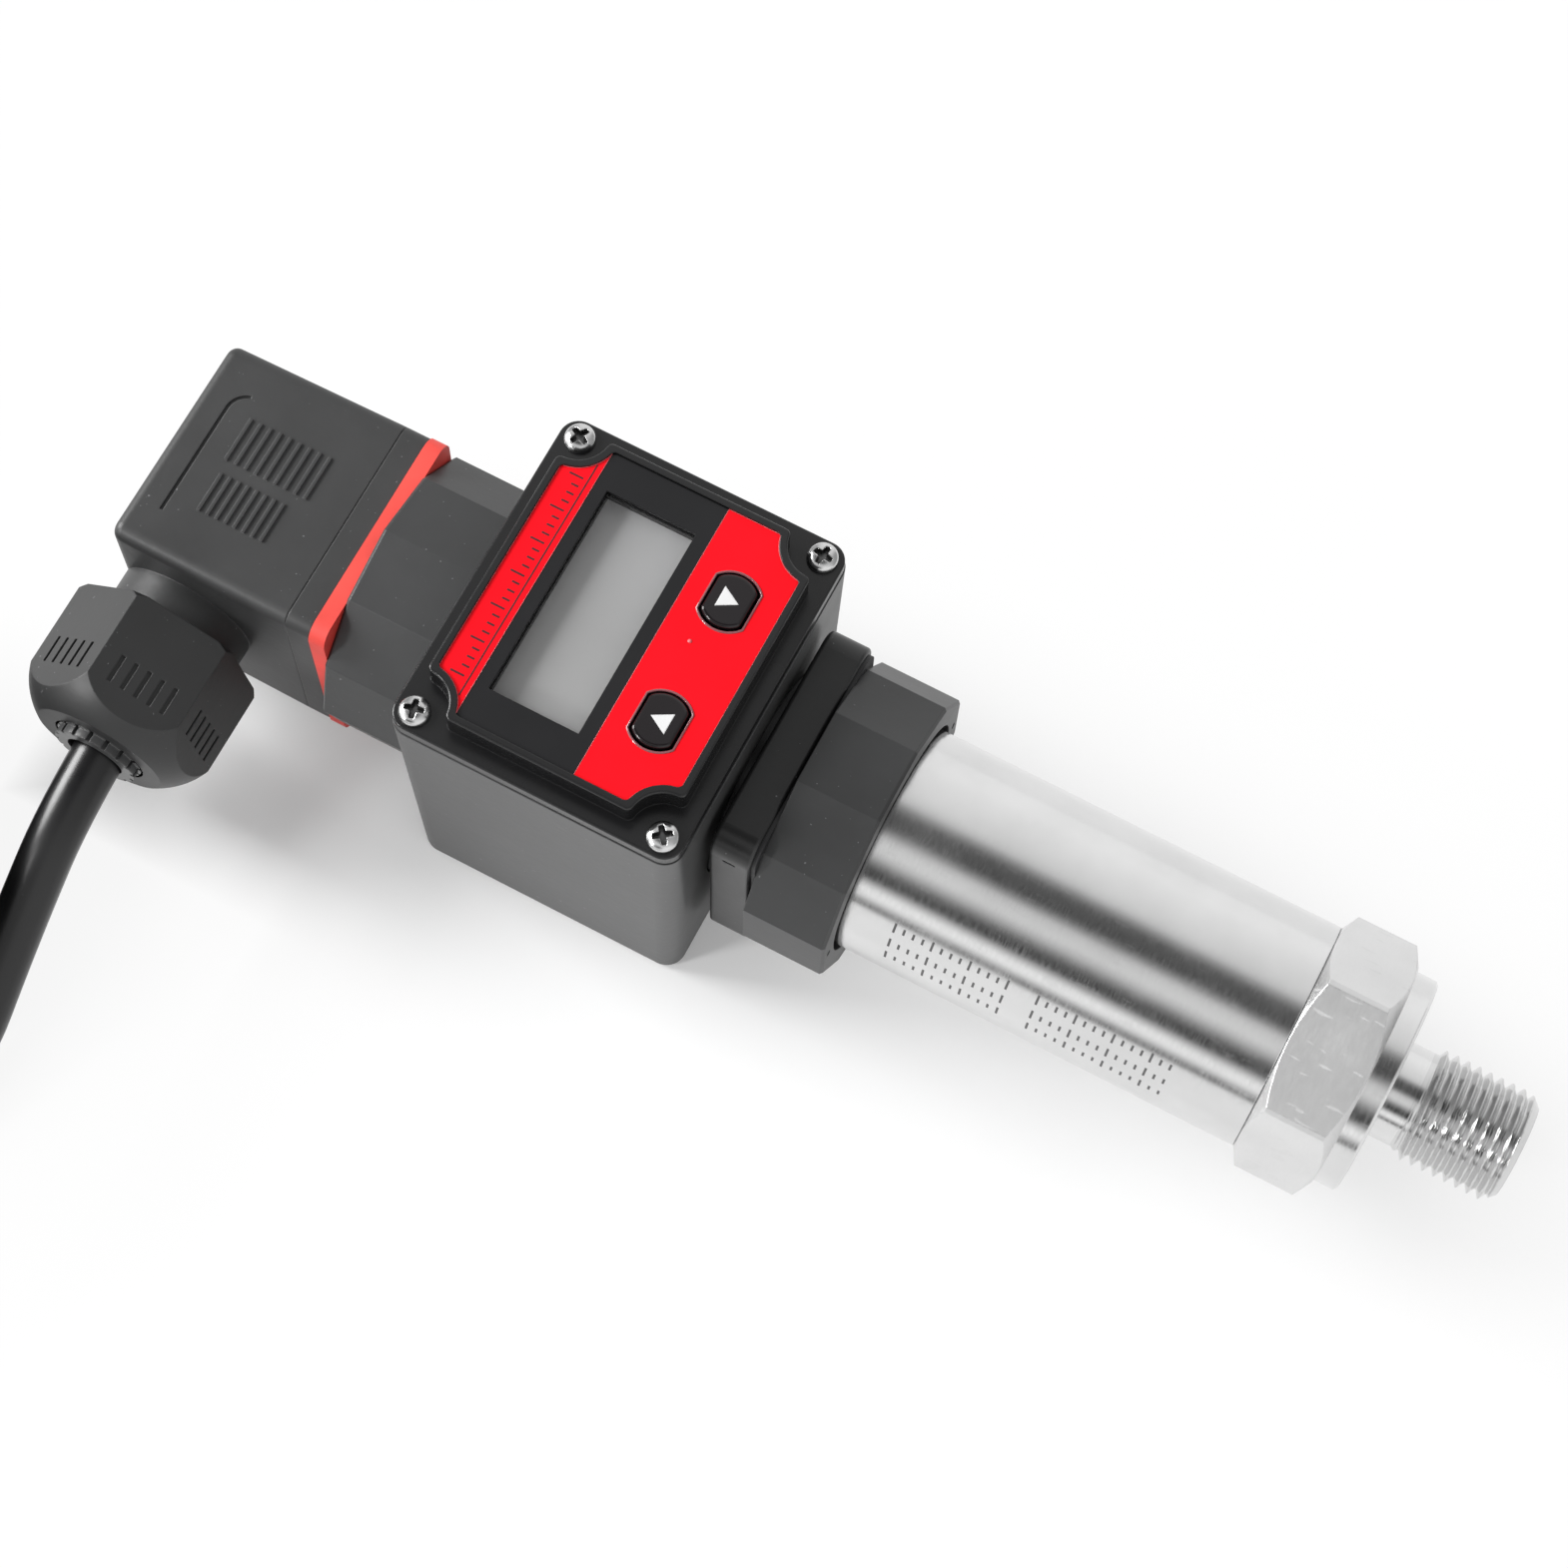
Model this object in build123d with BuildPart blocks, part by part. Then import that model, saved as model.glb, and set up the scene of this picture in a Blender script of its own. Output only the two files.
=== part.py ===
from build123d import *
import math
import os

# A pressure transmitter with a plug-on display head and a square cable plug, in millimetres.
# X runs along the main axis towards the process thread and Z points out of the display.
# The origin is on that axis, where the full thread begins.

# Fits
seat_gap = 0.05
running_gap = 0.3
contact_gap = 0.15
screw_gap = 0.1

# Process connection, one turned piece of steel
thread_d = 13.157
thread_length = 12.3
thread_chamfer = 1.2
relief_d = 11.4
relief_length = 3.4
seal_disc_d = 25.7
seal_disc_thickness = 2.7
hex_flats = 27.0
hex_turned_d = 30.8
hex_length = 9.5
hex_chamfer_angle = 30.0
hex_chamfer_inner_d = 26.6
hex_turn = 20.0
spigot_length = 8.0
port_d = 4.0
cell_chamber_d = 18.6
cell_chamber_depth = 11.6

# Sensor tube and what it holds
tube_d = 27.0
tube_wall = 1.0
tube_length = 50.7
cell_d = 18.0
cell_thickness = 6.35
cell_lead_d = 0.8
cell_lead_ring_d = 9.0
cell_lead_length = 9.0
cell_seal_section = 1.5
cell_seal_d = 13.0
lock_ring_bore = 13.0
amplifier_length = 33.0
amplifier_width = 20.0
board_thickness = 1.6
chip_height = 1.5
chip_length = 7.0
chip_width = 5.0
small_chip_length = 3.2
small_chip_width = 3.0
small_chip_shift_x = 6.5
small_chip_shift_y = 5.0

# Twelve-sided collar that carries the contacts of the transmitter
collar_flats = 33.6
collar_length = 10.1
collar_turn = 15.0
collar_tube_depth = 1.4
collar_recess_gap = 0.7
collar_spigot_length = 7.0
collar_bore_d = 12.0
collar_slot_length = 1.2
collar_slot_width = 0.7
collar_slot_ring_r = 15.4
collar_slot_depth = 2.5
edge_break = 0.3

# Flat contacts of both plug faces, and the nuts of their screws
blade_width = 6.3
blade_thickness = 0.8
blade_offset = 8.0
blade_reach = 8.0
blade_tail_length = 3.0
blade_tail_width = 1.5
slot_depth = 8.7
nut_insert_d = 5.4
nut_insert_length = 6.0
screw_d = 3.0

# Square socket of the display head, its seal, and the ring that lets the head turn
socket_seal_thickness = 0.45
socket_seal_width = 28.4
socket_seal_bore = 21.0
socket_width = 29.4
socket_corner_r = 3.0
socket_edge_r = 0.5
socket_thickness = 5.05
socket_neck_d = 25.0
socket_neck_end_d = 23.0
socket_neck_end_length = 5.0
socket_mark_length = 1.6
socket_mark_width = 0.4
socket_mark_height = 11.0
socket_mark_depth = 0.3
turn_ring_d = 28.4
turn_ring_thickness = 1.6
head_gap = 0.9
head_screw_head_d = 5.5
head_screw_head_height = 2.0
head_screw_pocket_depth = 4.5
head_screw_length = 13.0

# Display housing
box_length = 35.6
box_width = 41.6
box_corner_r = 2.4
box_floor = -20.5
box_rim = 19.0
box_taper = 0.6
box_wall = 2.2
box_edge_r = 0.8
post_r = 3.4
cavity_corner_r = 0.7
ledge_width = 0.9
lid_seal_thickness = 1.0

# Lid with its raised panel
lid_base_thickness = 1.8
lid_base_inset = 0.1
lid_screw_edge_x = 2.6
lid_screw_edge_y = 2.4
label_length = 29.6
label_width = 35.1
label_notch_r = 4.8
label_thickness = 0.4
label_top = 23.8
panel_rim_width = 0.9
panel_rim_height = 0.3
panel_skin = 1.8
panel_wall = 2.2
panel_corner_r = 0.7
panel_edge_r = 0.25

# Display window, module and board
lcd_length = 11.0
lcd_width = 26.4
lcd_shift = -3.3
window_lip = 0.8
window_thickness = 0.9
lcd_body_margin = 1.2
lcd_module_thickness = 2.8
board_stand_off = 2.9
board_length = 30.0
board_width = 36.0
board_notch_r = 4.0
stud_d = 2.4
stud_pin_d = 1.4
stud_pin_reach = 0.4
stud_row_x = 9.2
stud_left_x = -12.7
stud_row_y = 14.0

# Keys and their switches
key_pitch = 15.7
key_shift = 9.2
key_round_d = 6.4
key_flat_width = 4.8
key_corner_r = 0.7
key_side_gap = 0.25
key_rise = 0.5
key_edge_r = 0.4
key_flange_width = 0.7
key_flange_thickness = 0.7
key_flange_gap = 0.1
switch_width = 4.6
switch_height = 0.9
plunger_d = 2.2
plunger_height = 0.45

# Screws that hold the lid
lid_screw_d = 2.0
lid_screw_length = 10.0
lid_screw_head_d = 3.6
lid_screw_head_height = 1.2
cross_slot_length = 2.0
cross_slot_width = 0.45
cross_slot_depth = 0.7

# Twelve-sided base on the rear of the head
rear_base_flats = 32.8
rear_base_length = 12.3
rear_base_turn = 0.0
rear_spigot_d = 24.0
rear_spigot_length = 4.0

# Cable plug
plug_seal_stand_out = 0.25
plug_seal_thickness = 2.0
plug_seal_bore = 20.0
plug_seal_corner_r = 2.2
insert_flange_thickness = 3.1
insert_side_gap = 0.2
insert_depth = 10.0
terminal_d = 4.0
terminal_height = 1.6
terminal_shank_d = 2.0
terminal_shank_length = 3.5
cover_width = 27.6
cover_taper = 0.3
cover_length = 22.9
cover_wall = 1.8
cover_corner_r = 1.6
cover_edge_r = 1.2
seam_break = 0.15
screw_boss_d = 10.0
screw_boss_length = 5.0
screw_well_d = 7.0
screw_well_depth = 2.4
screw_head_d = 6.0
screw_head_height = 2.0
plug_screw_length = 30.0
screw_slot_width = 0.8
screw_slot_depth = 0.9
grip_rib_width = 0.45
grip_rib_height = 0.25
grip_rib_root = 0.5
grip_count_a = 9
grip_pitch_a = 1.29
grip_length_a = 5.8
grip_x_a = -10.65
grip_y_a = 3.0
grip_count_b = 8
grip_pitch_b = 1.16
grip_length_b = 5.2
grip_x_b = -11.25
grip_y_b = -4.1
corner_line_width = 0.4
corner_line_depth = 0.3
corner_line_x = -19.1
corner_line_low_y = -8.5
corner_line_high_y = 5.9
corner_line_r = 2.4

# Cable gland on the side of the plug
gland_from_cover_front = 14.7
gland_neck_d = 16.4
gland_neck_length = 3.6
gland_thread_d = 14.4
gland_thread_length = 9.1
cable_way_d = 8.0
seal_seat_d = 12.0
seal_seat_depth = 7.0
gland_seal_length = 6.8
nut_flats = 20.3
nut_turn = 40.0
nut_neck_gap = 0.2
nut_length = 15.4
nut_dome_length = 4.5
nut_end_d = 16.0
nut_chamfer = 0.6
nut_mouth_d = 11.4
nut_mouth_length = 3.6
nut_groove_count = 5
nut_groove_pitch = 1.7
nut_groove_width = 0.5
nut_groove_depth = 0.3
nut_groove_length = 3.4
nut_groove_start = 7.2
clamp_flange_d = 14.0
clamp_flange_length = 1.5
clamp_d = 10.8
clamp_bore_d = 7.0
clamp_slot_count = 16
clamp_slot_width = 0.5
clamp_slot_depth = 0.7
clamp_lip_d = 10.2
clamp_lip_length = 1.0

# Cable
cable_d = 6.2
cable_bend_share = 0.45
coil_middle_d = 62.0
coil_across = 2
coil_rows = 4
coil_turns = 6.64
coil_corner_r = 2.6
coil_tie_width = 5.0
coil_tie_thickness = 0.8
core_d = 1.7
core_ring_r = 1.05
core_length = 10.0
core_count = 3
tail_end = 11.4
tail_core_length = 4.0

# Places along the main axis, each from its neighbour
disc_front_x = -relief_length
hex_front_x = disc_front_x - seal_disc_thickness
hex_rear_x = hex_front_x - hex_length
spigot_rear_x = hex_rear_x - spigot_length
chamber_floor_x = spigot_rear_x + cell_chamber_depth
cell_front_x = chamber_floor_x - cell_seal_section - seat_gap
cell_rear_x = cell_front_x - cell_thickness
tube_rear_x = hex_rear_x - tube_length
amplifier_front_x = cell_rear_x - cell_lead_length + blade_tail_length
collar_front_x = tube_rear_x + collar_tube_depth
collar_rear_x = collar_front_x - collar_length
collar_spigot_x = tube_rear_x + collar_spigot_length
socket_front_x = collar_rear_x - socket_seal_thickness
socket_rear_x = socket_front_x - socket_thickness
box_front_x = socket_rear_x - head_gap
box_x = box_front_x - box_length / 2
box_rear_x = box_front_x - box_length
turn_ring_front_x = box_front_x - box_wall - running_gap
socket_neck_end_x = turn_ring_front_x - socket_neck_end_length
head_screw_seat_x = socket_neck_end_x + head_screw_pocket_depth
rear_spigot_x = box_rear_x + rear_spigot_length
rear_base_x = box_rear_x - rear_base_length
plug_seal_rear_x = rear_base_x - plug_seal_thickness
cover_front_x = plug_seal_rear_x - insert_flange_thickness
insert_rear_x = cover_front_x - insert_depth
cover_rear_x = cover_front_x - cover_length
gland_x = cover_front_x - gland_from_cover_front
screw_seat_x = cover_rear_x + screw_well_depth

# Heights and sizes of the lid and what is under it
lid_base_top = box_rim + lid_base_thickness
lid_screw_pitch_x = box_length - 2 * lid_screw_edge_x
lid_screw_pitch_y = box_width - 2 * lid_screw_edge_y
label_floor = label_top - label_thickness
panel_top = label_top + panel_rim_height
panel_under = label_floor - panel_skin
window_floor = label_floor - window_thickness
board_top = panel_under - board_stand_off
key_top = label_top + key_rise
key_flange_top = panel_under - key_flange_gap
key_bottom = key_flange_top - key_flange_thickness
key_x = box_x + key_shift
lcd_x = box_x + lcd_shift
cavity_length = box_length - 2 * box_wall
cavity_width = box_width - 2 * box_wall
panel_length = label_length + 2 * panel_rim_width
panel_width = label_width + 2 * panel_rim_width
panel_notch_r = label_notch_r - panel_rim_width

# Widths of the plug's pieces, each from the cover's width
plug_seal_width = cover_width + 2 * plug_seal_stand_out
insert_width = cover_width - 2 * cover_wall - 2 * insert_side_gap
cover_rear_width = cover_width - 2 * cover_taper

# Places along the gland, measured towards -Y
nozzle_start = cover_width / 2 - cover_wall
neck_end = cover_width / 2 + gland_neck_length
thread_end = neck_end + gland_thread_length
seal_start = thread_end - seal_seat_depth
seal_end = seal_start + gland_seal_length + seat_gap
nut_start = neck_end + nut_neck_gap
nut_end = nut_start + nut_length
clamp_start = nut_end - nut_mouth_length - clamp_flange_length
clamp_end = nut_end

# The cable's route where it isn't coiled, chosen by hand: out of the gland, down, and round to the coil
cable_r = cable_d / 2
cable_floor = box_floor + cable_r
coil_floor = box_floor + coil_tie_thickness
coil_low = coil_floor + cable_r
coil_high = coil_low + (coil_rows - 1) * cable_d
cable_start = 20.0
cable_route = [
    (gland_x, -cable_start, 0.0),
    (gland_x, -38.0, 0.0),
    (-149.2, -54.5, -7.6),
    (-150.0, -71.9, -14.9),
    (-159.4, -88.1, cable_floor),
    (-175.6, -97.5, coil_low),
    (-194.0, -97.5, coil_low),
]
coil_x = -194.0
coil_y = -63.4
end_route = [
    (-167.3, -40.2, coil_high),
    (-158.9, -54.6, coil_high + 1.9),
    (-158.3, -71.6, coil_high + 4.4),
    (-166.0, -86.9, coil_high + 6.0),
    (-179.8, -96.9, coil_high + 6.4),
]


def write(piece, name):
    """Labels one finished piece and writes it."""
    piece.part.label = name
    export_step(piece.part, "parts/" + name + ".step")


def notched(length, width, notch_r, corner_r):
    """A rectangle with a round bite at each lid screw, its corners softened."""
    Rectangle(length, width)
    with GridLocations(lid_screw_pitch_x, lid_screw_pitch_y, 2, 2):
        Circle(notch_r, mode=Mode.SUBTRACT)
    fillet(vertices(), corner_r)


def key_outline(grow):
    """A key's outline, a round with two flats, grown by a clearance or a flange."""
    Circle(key_round_d / 2 + grow)
    Rectangle(key_flat_width + 2 * grow, key_round_d + 3 * grow, mode=Mode.INTERSECT)
    fillet(vertices(), key_corner_r)


def blade_outlines(grow):
    """Four flat contacts about the axis, each grown by a clearance."""
    thick = blade_thickness + 2 * grow
    wide = blade_width + 2 * grow
    with Locations((blade_offset, 0), (-blade_offset, 0)):
        Rectangle(thick, wide)
    with Locations((0, blade_offset), (0, -blade_offset)):
        Rectangle(wide, thick)


def twelve_sided(flats, turn):
    """A regular twelve-sided outline."""
    RegularPolygon(flats / 2, 12, major_radius=False, rotation=turn)


def bend_radii(points):
    """The radius at each corner of a route, as large as the shorter of its two runs allows."""
    radii = []
    for before, corner, after in zip(points, points[1:], points[2:]):
        run_in = Vector(*corner) - Vector(*before)
        run_out = Vector(*after) - Vector(*corner)
        turn = math.radians(run_in.get_angle(run_out))
        shorter = min(run_in.length, run_out.length)
        radii.append(cable_bend_share * shorter / math.tan(turn / 2))
    return radii


def length_of(line):
    """The length of a route of straight runs and arcs."""
    return sum(edge.length for edge in line.edges())


def check_tube(name, tube, line, radii):
    """Prints a tube's bend radii and its volume beside its section times its length."""
    expected = math.pi * cable_r**2 * length_of(line)
    print(name, "radii", [round(radius, 1) for radius in radii])
    print(name, "length", round(length_of(line), 1), "volume", round(tube.volume, 1), "of", round(expected, 1))


os.makedirs("parts", exist_ok=True)

# Process connection: hexagon with turned corners, seal disc, relief, thread blank and cell chamber
hex_chamfer_run = (hex_turned_d - hex_chamfer_inner_d) / 2 * math.tan(math.radians(hex_chamfer_angle))
with BuildPart() as process_connection:
    with BuildSketch(Plane.YZ.offset(hex_rear_x)):
        RegularPolygon(hex_flats / 2, 6, major_radius=False, rotation=hex_turn)
    extrude(amount=hex_length)
    with BuildSketch(Plane.XY):
        with BuildLine():
            Polyline(
                (hex_rear_x, 0),
                (hex_rear_x, hex_chamfer_inner_d / 2),
                (hex_rear_x + hex_chamfer_run, hex_turned_d / 2),
                (hex_front_x - hex_chamfer_run, hex_turned_d / 2),
                (hex_front_x, hex_chamfer_inner_d / 2),
                (hex_front_x, 0),
                close=True,
            )
        make_face()
    revolve(axis=Axis.X, mode=Mode.INTERSECT)
    with BuildSketch(Plane.XY):
        with BuildLine():
            Polyline(
                (spigot_rear_x, 0),
                (spigot_rear_x, tube_d / 2 - tube_wall - seat_gap),
                (hex_rear_x, tube_d / 2 - tube_wall - seat_gap),
                (hex_rear_x, relief_d / 2),
                (hex_front_x, relief_d / 2),
                (hex_front_x, seal_disc_d / 2),
                (disc_front_x - edge_break, seal_disc_d / 2),
                (disc_front_x, seal_disc_d / 2 - edge_break),
                (disc_front_x, relief_d / 2),
                (0, relief_d / 2),
                (0, thread_d / 2),
                (thread_length - thread_chamfer, thread_d / 2),
                (thread_length, thread_d / 2 - thread_chamfer),
                (thread_length, 0),
                close=True,
            )
        make_face()
    revolve(axis=Axis.X)
    with BuildSketch(Plane.YZ.offset(spigot_rear_x)):
        Circle(cell_chamber_d / 2)
    extrude(amount=cell_chamber_depth, mode=Mode.SUBTRACT)
    with BuildSketch(Plane.YZ.offset(spigot_rear_x)):
        Circle(port_d / 2)
    extrude(amount=thread_length - spigot_rear_x, mode=Mode.SUBTRACT)

with BuildPart() as sensor_tube:
    with BuildSketch(Plane.YZ.offset(tube_rear_x)):
        Circle(tube_d / 2)
        Circle(tube_d / 2 - tube_wall, mode=Mode.SUBTRACT)
    extrude(amount=tube_length)

# Ring seal on the chamber's floor, ceramic cell on it, and the ring that holds the cell down
with BuildPart() as cell_seal:
    with BuildSketch(Plane.XY):
        with Locations((chamber_floor_x - (cell_seal_section + seat_gap) / 2, cell_seal_d / 2)):
            Circle(cell_seal_section / 2)
    revolve(axis=Axis.X)

with BuildPart() as measuring_cell:
    with BuildSketch(Plane.YZ.offset(cell_rear_x)):
        Circle(cell_d / 2)
    extrude(amount=cell_thickness)
    with BuildSketch(Plane.YZ.offset(cell_rear_x)):
        with Locations((cell_lead_ring_d / 2, cell_lead_d), (-cell_lead_ring_d / 2, cell_lead_d)):
            Circle(cell_lead_d / 2)
    extrude(amount=-cell_lead_length)

with BuildPart() as cell_lock_ring:
    with BuildSketch(Plane.YZ.offset(spigot_rear_x)):
        Circle(cell_chamber_d / 2 - seat_gap)
        Circle(lock_ring_bore / 2, mode=Mode.SUBTRACT)
    extrude(amount=cell_rear_x - spigot_rear_x)

# Amplifier board: the cell's leads lie on its front end and the tails of the contacts on its rear end
amplifier_top = cell_lead_d / 2
amplifier_x = amplifier_front_x - amplifier_length / 2
with BuildPart() as amplifier_board:
    with BuildSketch(Plane.XY.offset(amplifier_top - board_thickness)):
        with Locations((amplifier_x, 0)):
            Rectangle(amplifier_length, amplifier_width)
    extrude(amount=board_thickness)
    with BuildSketch(Plane.XY.offset(amplifier_top)):
        with Locations((amplifier_x, 0)):
            Rectangle(chip_length, chip_width)
        with Locations(
            (amplifier_x - small_chip_shift_x, small_chip_shift_y),
            (amplifier_x - small_chip_shift_x, -small_chip_shift_y),
        ):
            Rectangle(small_chip_length, small_chip_width)
    extrude(amount=chip_height)

# Twelve-sided collar: recess for the tube's end, spigot, nut seat, contact slots and two small slots
with BuildPart() as base_collar:
    with BuildSketch(Plane.YZ.offset(collar_rear_x)):
        twelve_sided(collar_flats, collar_turn)
    extrude(amount=collar_length)
    chamfer(faces().sort_by(Axis.X)[-1].edges(), edge_break)
    with BuildSketch(Plane.YZ.offset(tube_rear_x)):
        Circle(tube_d / 2 + collar_recess_gap)
    extrude(amount=collar_tube_depth, mode=Mode.SUBTRACT)
    with BuildSketch(Plane.YZ.offset(tube_rear_x)):
        Circle(tube_d / 2 - tube_wall - seat_gap)
    extrude(amount=collar_spigot_length)
    with BuildSketch(Plane.YZ.offset(collar_rear_x + nut_insert_length)):
        Circle(collar_bore_d / 2)
    extrude(amount=collar_spigot_x - collar_rear_x - nut_insert_length, mode=Mode.SUBTRACT)
    with BuildSketch(Plane.YZ.offset(collar_rear_x)):
        Circle(nut_insert_d / 2 + seat_gap)
    extrude(amount=nut_insert_length, mode=Mode.SUBTRACT)
    with BuildSketch(Plane.YZ.offset(collar_rear_x)):
        blade_outlines(seat_gap)
    extrude(amount=collar_spigot_x - collar_rear_x, mode=Mode.SUBTRACT)
    with BuildSketch(Plane.YZ.offset(collar_front_x - collar_slot_depth)):
        with PolarLocations(collar_slot_ring_r, 2):
            SlotOverall(collar_slot_length, collar_slot_width, rotation=90)
    extrude(amount=collar_slot_depth, mode=Mode.SUBTRACT)

with BuildPart() as collar_nut:
    with BuildSketch(Plane.YZ.offset(collar_rear_x)):
        Circle(nut_insert_d / 2)
        Circle(screw_d / 2 + seat_gap, mode=Mode.SUBTRACT)
    extrude(amount=nut_insert_length)

with BuildPart() as collar_contacts:
    with BuildSketch(Plane.YZ.offset(collar_rear_x - blade_reach)):
        blade_outlines(0)
    extrude(amount=blade_reach + collar_spigot_x - collar_rear_x)
    with BuildSketch(Plane.YZ.offset(collar_spigot_x)):
        with Locations(
            (blade_offset, amplifier_top + blade_tail_width / 2),
            (-blade_offset, amplifier_top + blade_tail_width / 2),
        ):
            Rectangle(blade_thickness, blade_tail_width)
    extrude(amount=blade_tail_length)

# Socket of the display head: square plate, and a neck that turns in the housing's front wall
with BuildPart() as socket_seal:
    with BuildSketch(Plane.YZ.offset(socket_front_x)):
        RectangleRounded(socket_seal_width, socket_seal_width, socket_corner_r)
        Circle(socket_seal_bore / 2, mode=Mode.SUBTRACT)
    extrude(amount=socket_seal_thickness)

with BuildPart() as head_socket:
    with BuildSketch(Plane.YZ.offset(socket_rear_x)):
        RectangleRounded(socket_width, socket_width, socket_corner_r)
    extrude(amount=socket_thickness)
    fillet(faces().filter_by(Axis.X).edges(), socket_edge_r)
    with BuildSketch(Plane.XZ.offset(socket_width / 2 - socket_mark_depth)):
        with Locations(((socket_front_x + socket_rear_x) / 2, socket_mark_height)):
            SlotOverall(socket_mark_length, socket_mark_width)
    extrude(amount=socket_mark_depth, mode=Mode.SUBTRACT)
    with BuildSketch(Plane.YZ.offset(turn_ring_front_x)):
        Circle(socket_neck_d / 2)
    extrude(amount=socket_rear_x - turn_ring_front_x)
    with BuildSketch(Plane.YZ.offset(socket_neck_end_x)):
        Circle(socket_neck_end_d / 2)
    extrude(amount=socket_neck_end_length)
    with BuildSketch(Plane.YZ.offset(socket_front_x - slot_depth)):
        blade_outlines(contact_gap)
    extrude(amount=slot_depth, mode=Mode.SUBTRACT)
    with BuildSketch(Plane.YZ.offset(socket_neck_end_x)):
        Circle(screw_d / 2 + screw_gap)
    extrude(amount=socket_front_x - socket_neck_end_x, mode=Mode.SUBTRACT)
    with BuildSketch(Plane.YZ.offset(socket_neck_end_x)):
        Circle(head_screw_head_d / 2 + running_gap)
    extrude(amount=head_screw_pocket_depth, mode=Mode.SUBTRACT)

with BuildPart() as turn_ring:
    with BuildSketch(Plane.YZ.offset(turn_ring_front_x - turn_ring_thickness)):
        Circle(turn_ring_d / 2)
        Circle(socket_neck_end_d / 2 + seat_gap, mode=Mode.SUBTRACT)
    extrude(amount=turn_ring_thickness)

with BuildPart() as head_screw:
    with BuildSketch(Plane.YZ.offset(head_screw_seat_x - head_screw_head_height)):
        Circle(head_screw_head_d / 2)
    extrude(amount=head_screw_head_height)
    with BuildSketch(Plane.YZ.offset(head_screw_seat_x)):
        Circle(screw_d / 2)
    extrude(amount=head_screw_length)
    with BuildSketch(Plane.YZ.offset(head_screw_seat_x - head_screw_head_height)):
        Rectangle(head_screw_head_d, screw_slot_width)
    extrude(amount=screw_slot_depth, mode=Mode.SUBTRACT)

# Display housing: a box with leaning sides, corner posts for the lid's screws and a ledge for its seal
with BuildPart() as box_blank:
    with BuildSketch(Plane.XY.offset(box_floor)):
        with Locations((box_x, 0)):
            RectangleRounded(box_length - 2 * box_taper, box_width - 2 * box_taper, box_corner_r)
    with BuildSketch(Plane.XY.offset(box_rim)):
        with Locations((box_x, 0)):
            RectangleRounded(box_length, box_width, box_corner_r)
    loft()

with BuildPart() as display_housing:
    add(box_blank.part)
    fillet(faces().sort_by(Axis.Z)[0].edges(), box_edge_r)
    with BuildSketch(Plane.XY.offset(box_floor + box_wall)):
        with Locations((box_x, 0)):
            notched(cavity_length, cavity_width, post_r, cavity_corner_r)
    extrude(amount=box_rim - box_floor - box_wall, mode=Mode.SUBTRACT)
    with BuildSketch(Plane.XY.offset(box_rim - lid_seal_thickness)):
        with Locations((box_x, 0)):
            notched(
                cavity_length + 2 * ledge_width,
                cavity_width + 2 * ledge_width,
                post_r - ledge_width,
                cavity_corner_r,
            )
    extrude(amount=lid_seal_thickness, mode=Mode.SUBTRACT)
    with BuildSketch(Plane.XY.offset(box_rim - lid_screw_length)):
        with Locations((box_x, 0)):
            with GridLocations(lid_screw_pitch_x, lid_screw_pitch_y, 2, 2):
                Circle(lid_screw_d / 2 + seat_gap)
    extrude(amount=lid_screw_length, mode=Mode.SUBTRACT)
    with BuildSketch(Plane.YZ.offset(box_front_x)):
        Circle(socket_neck_d / 2 + running_gap)
    extrude(amount=-2 * box_wall, mode=Mode.SUBTRACT)
    with BuildSketch(Plane.YZ.offset(box_rear_x)):
        Circle(rear_spigot_d / 2 + seat_gap)
    extrude(amount=2 * box_wall, mode=Mode.SUBTRACT)

with BuildPart() as lid_seal:
    with BuildSketch(Plane.XY.offset(box_rim - lid_seal_thickness)):
        with Locations((box_x, 0)):
            notched(
                cavity_length + 2 * ledge_width - 2 * seat_gap,
                cavity_width + 2 * ledge_width - 2 * seat_gap,
                post_r - ledge_width + seat_gap,
                cavity_corner_r,
            )
    extrude(amount=lid_seal_thickness)
    with BuildSketch(Plane.XY.offset(box_rim - lid_seal_thickness)):
        with Locations((box_x, 0)):
            notched(cavity_length, cavity_width, post_r, cavity_corner_r)
    extrude(amount=lid_seal_thickness, mode=Mode.SUBTRACT)

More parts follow.
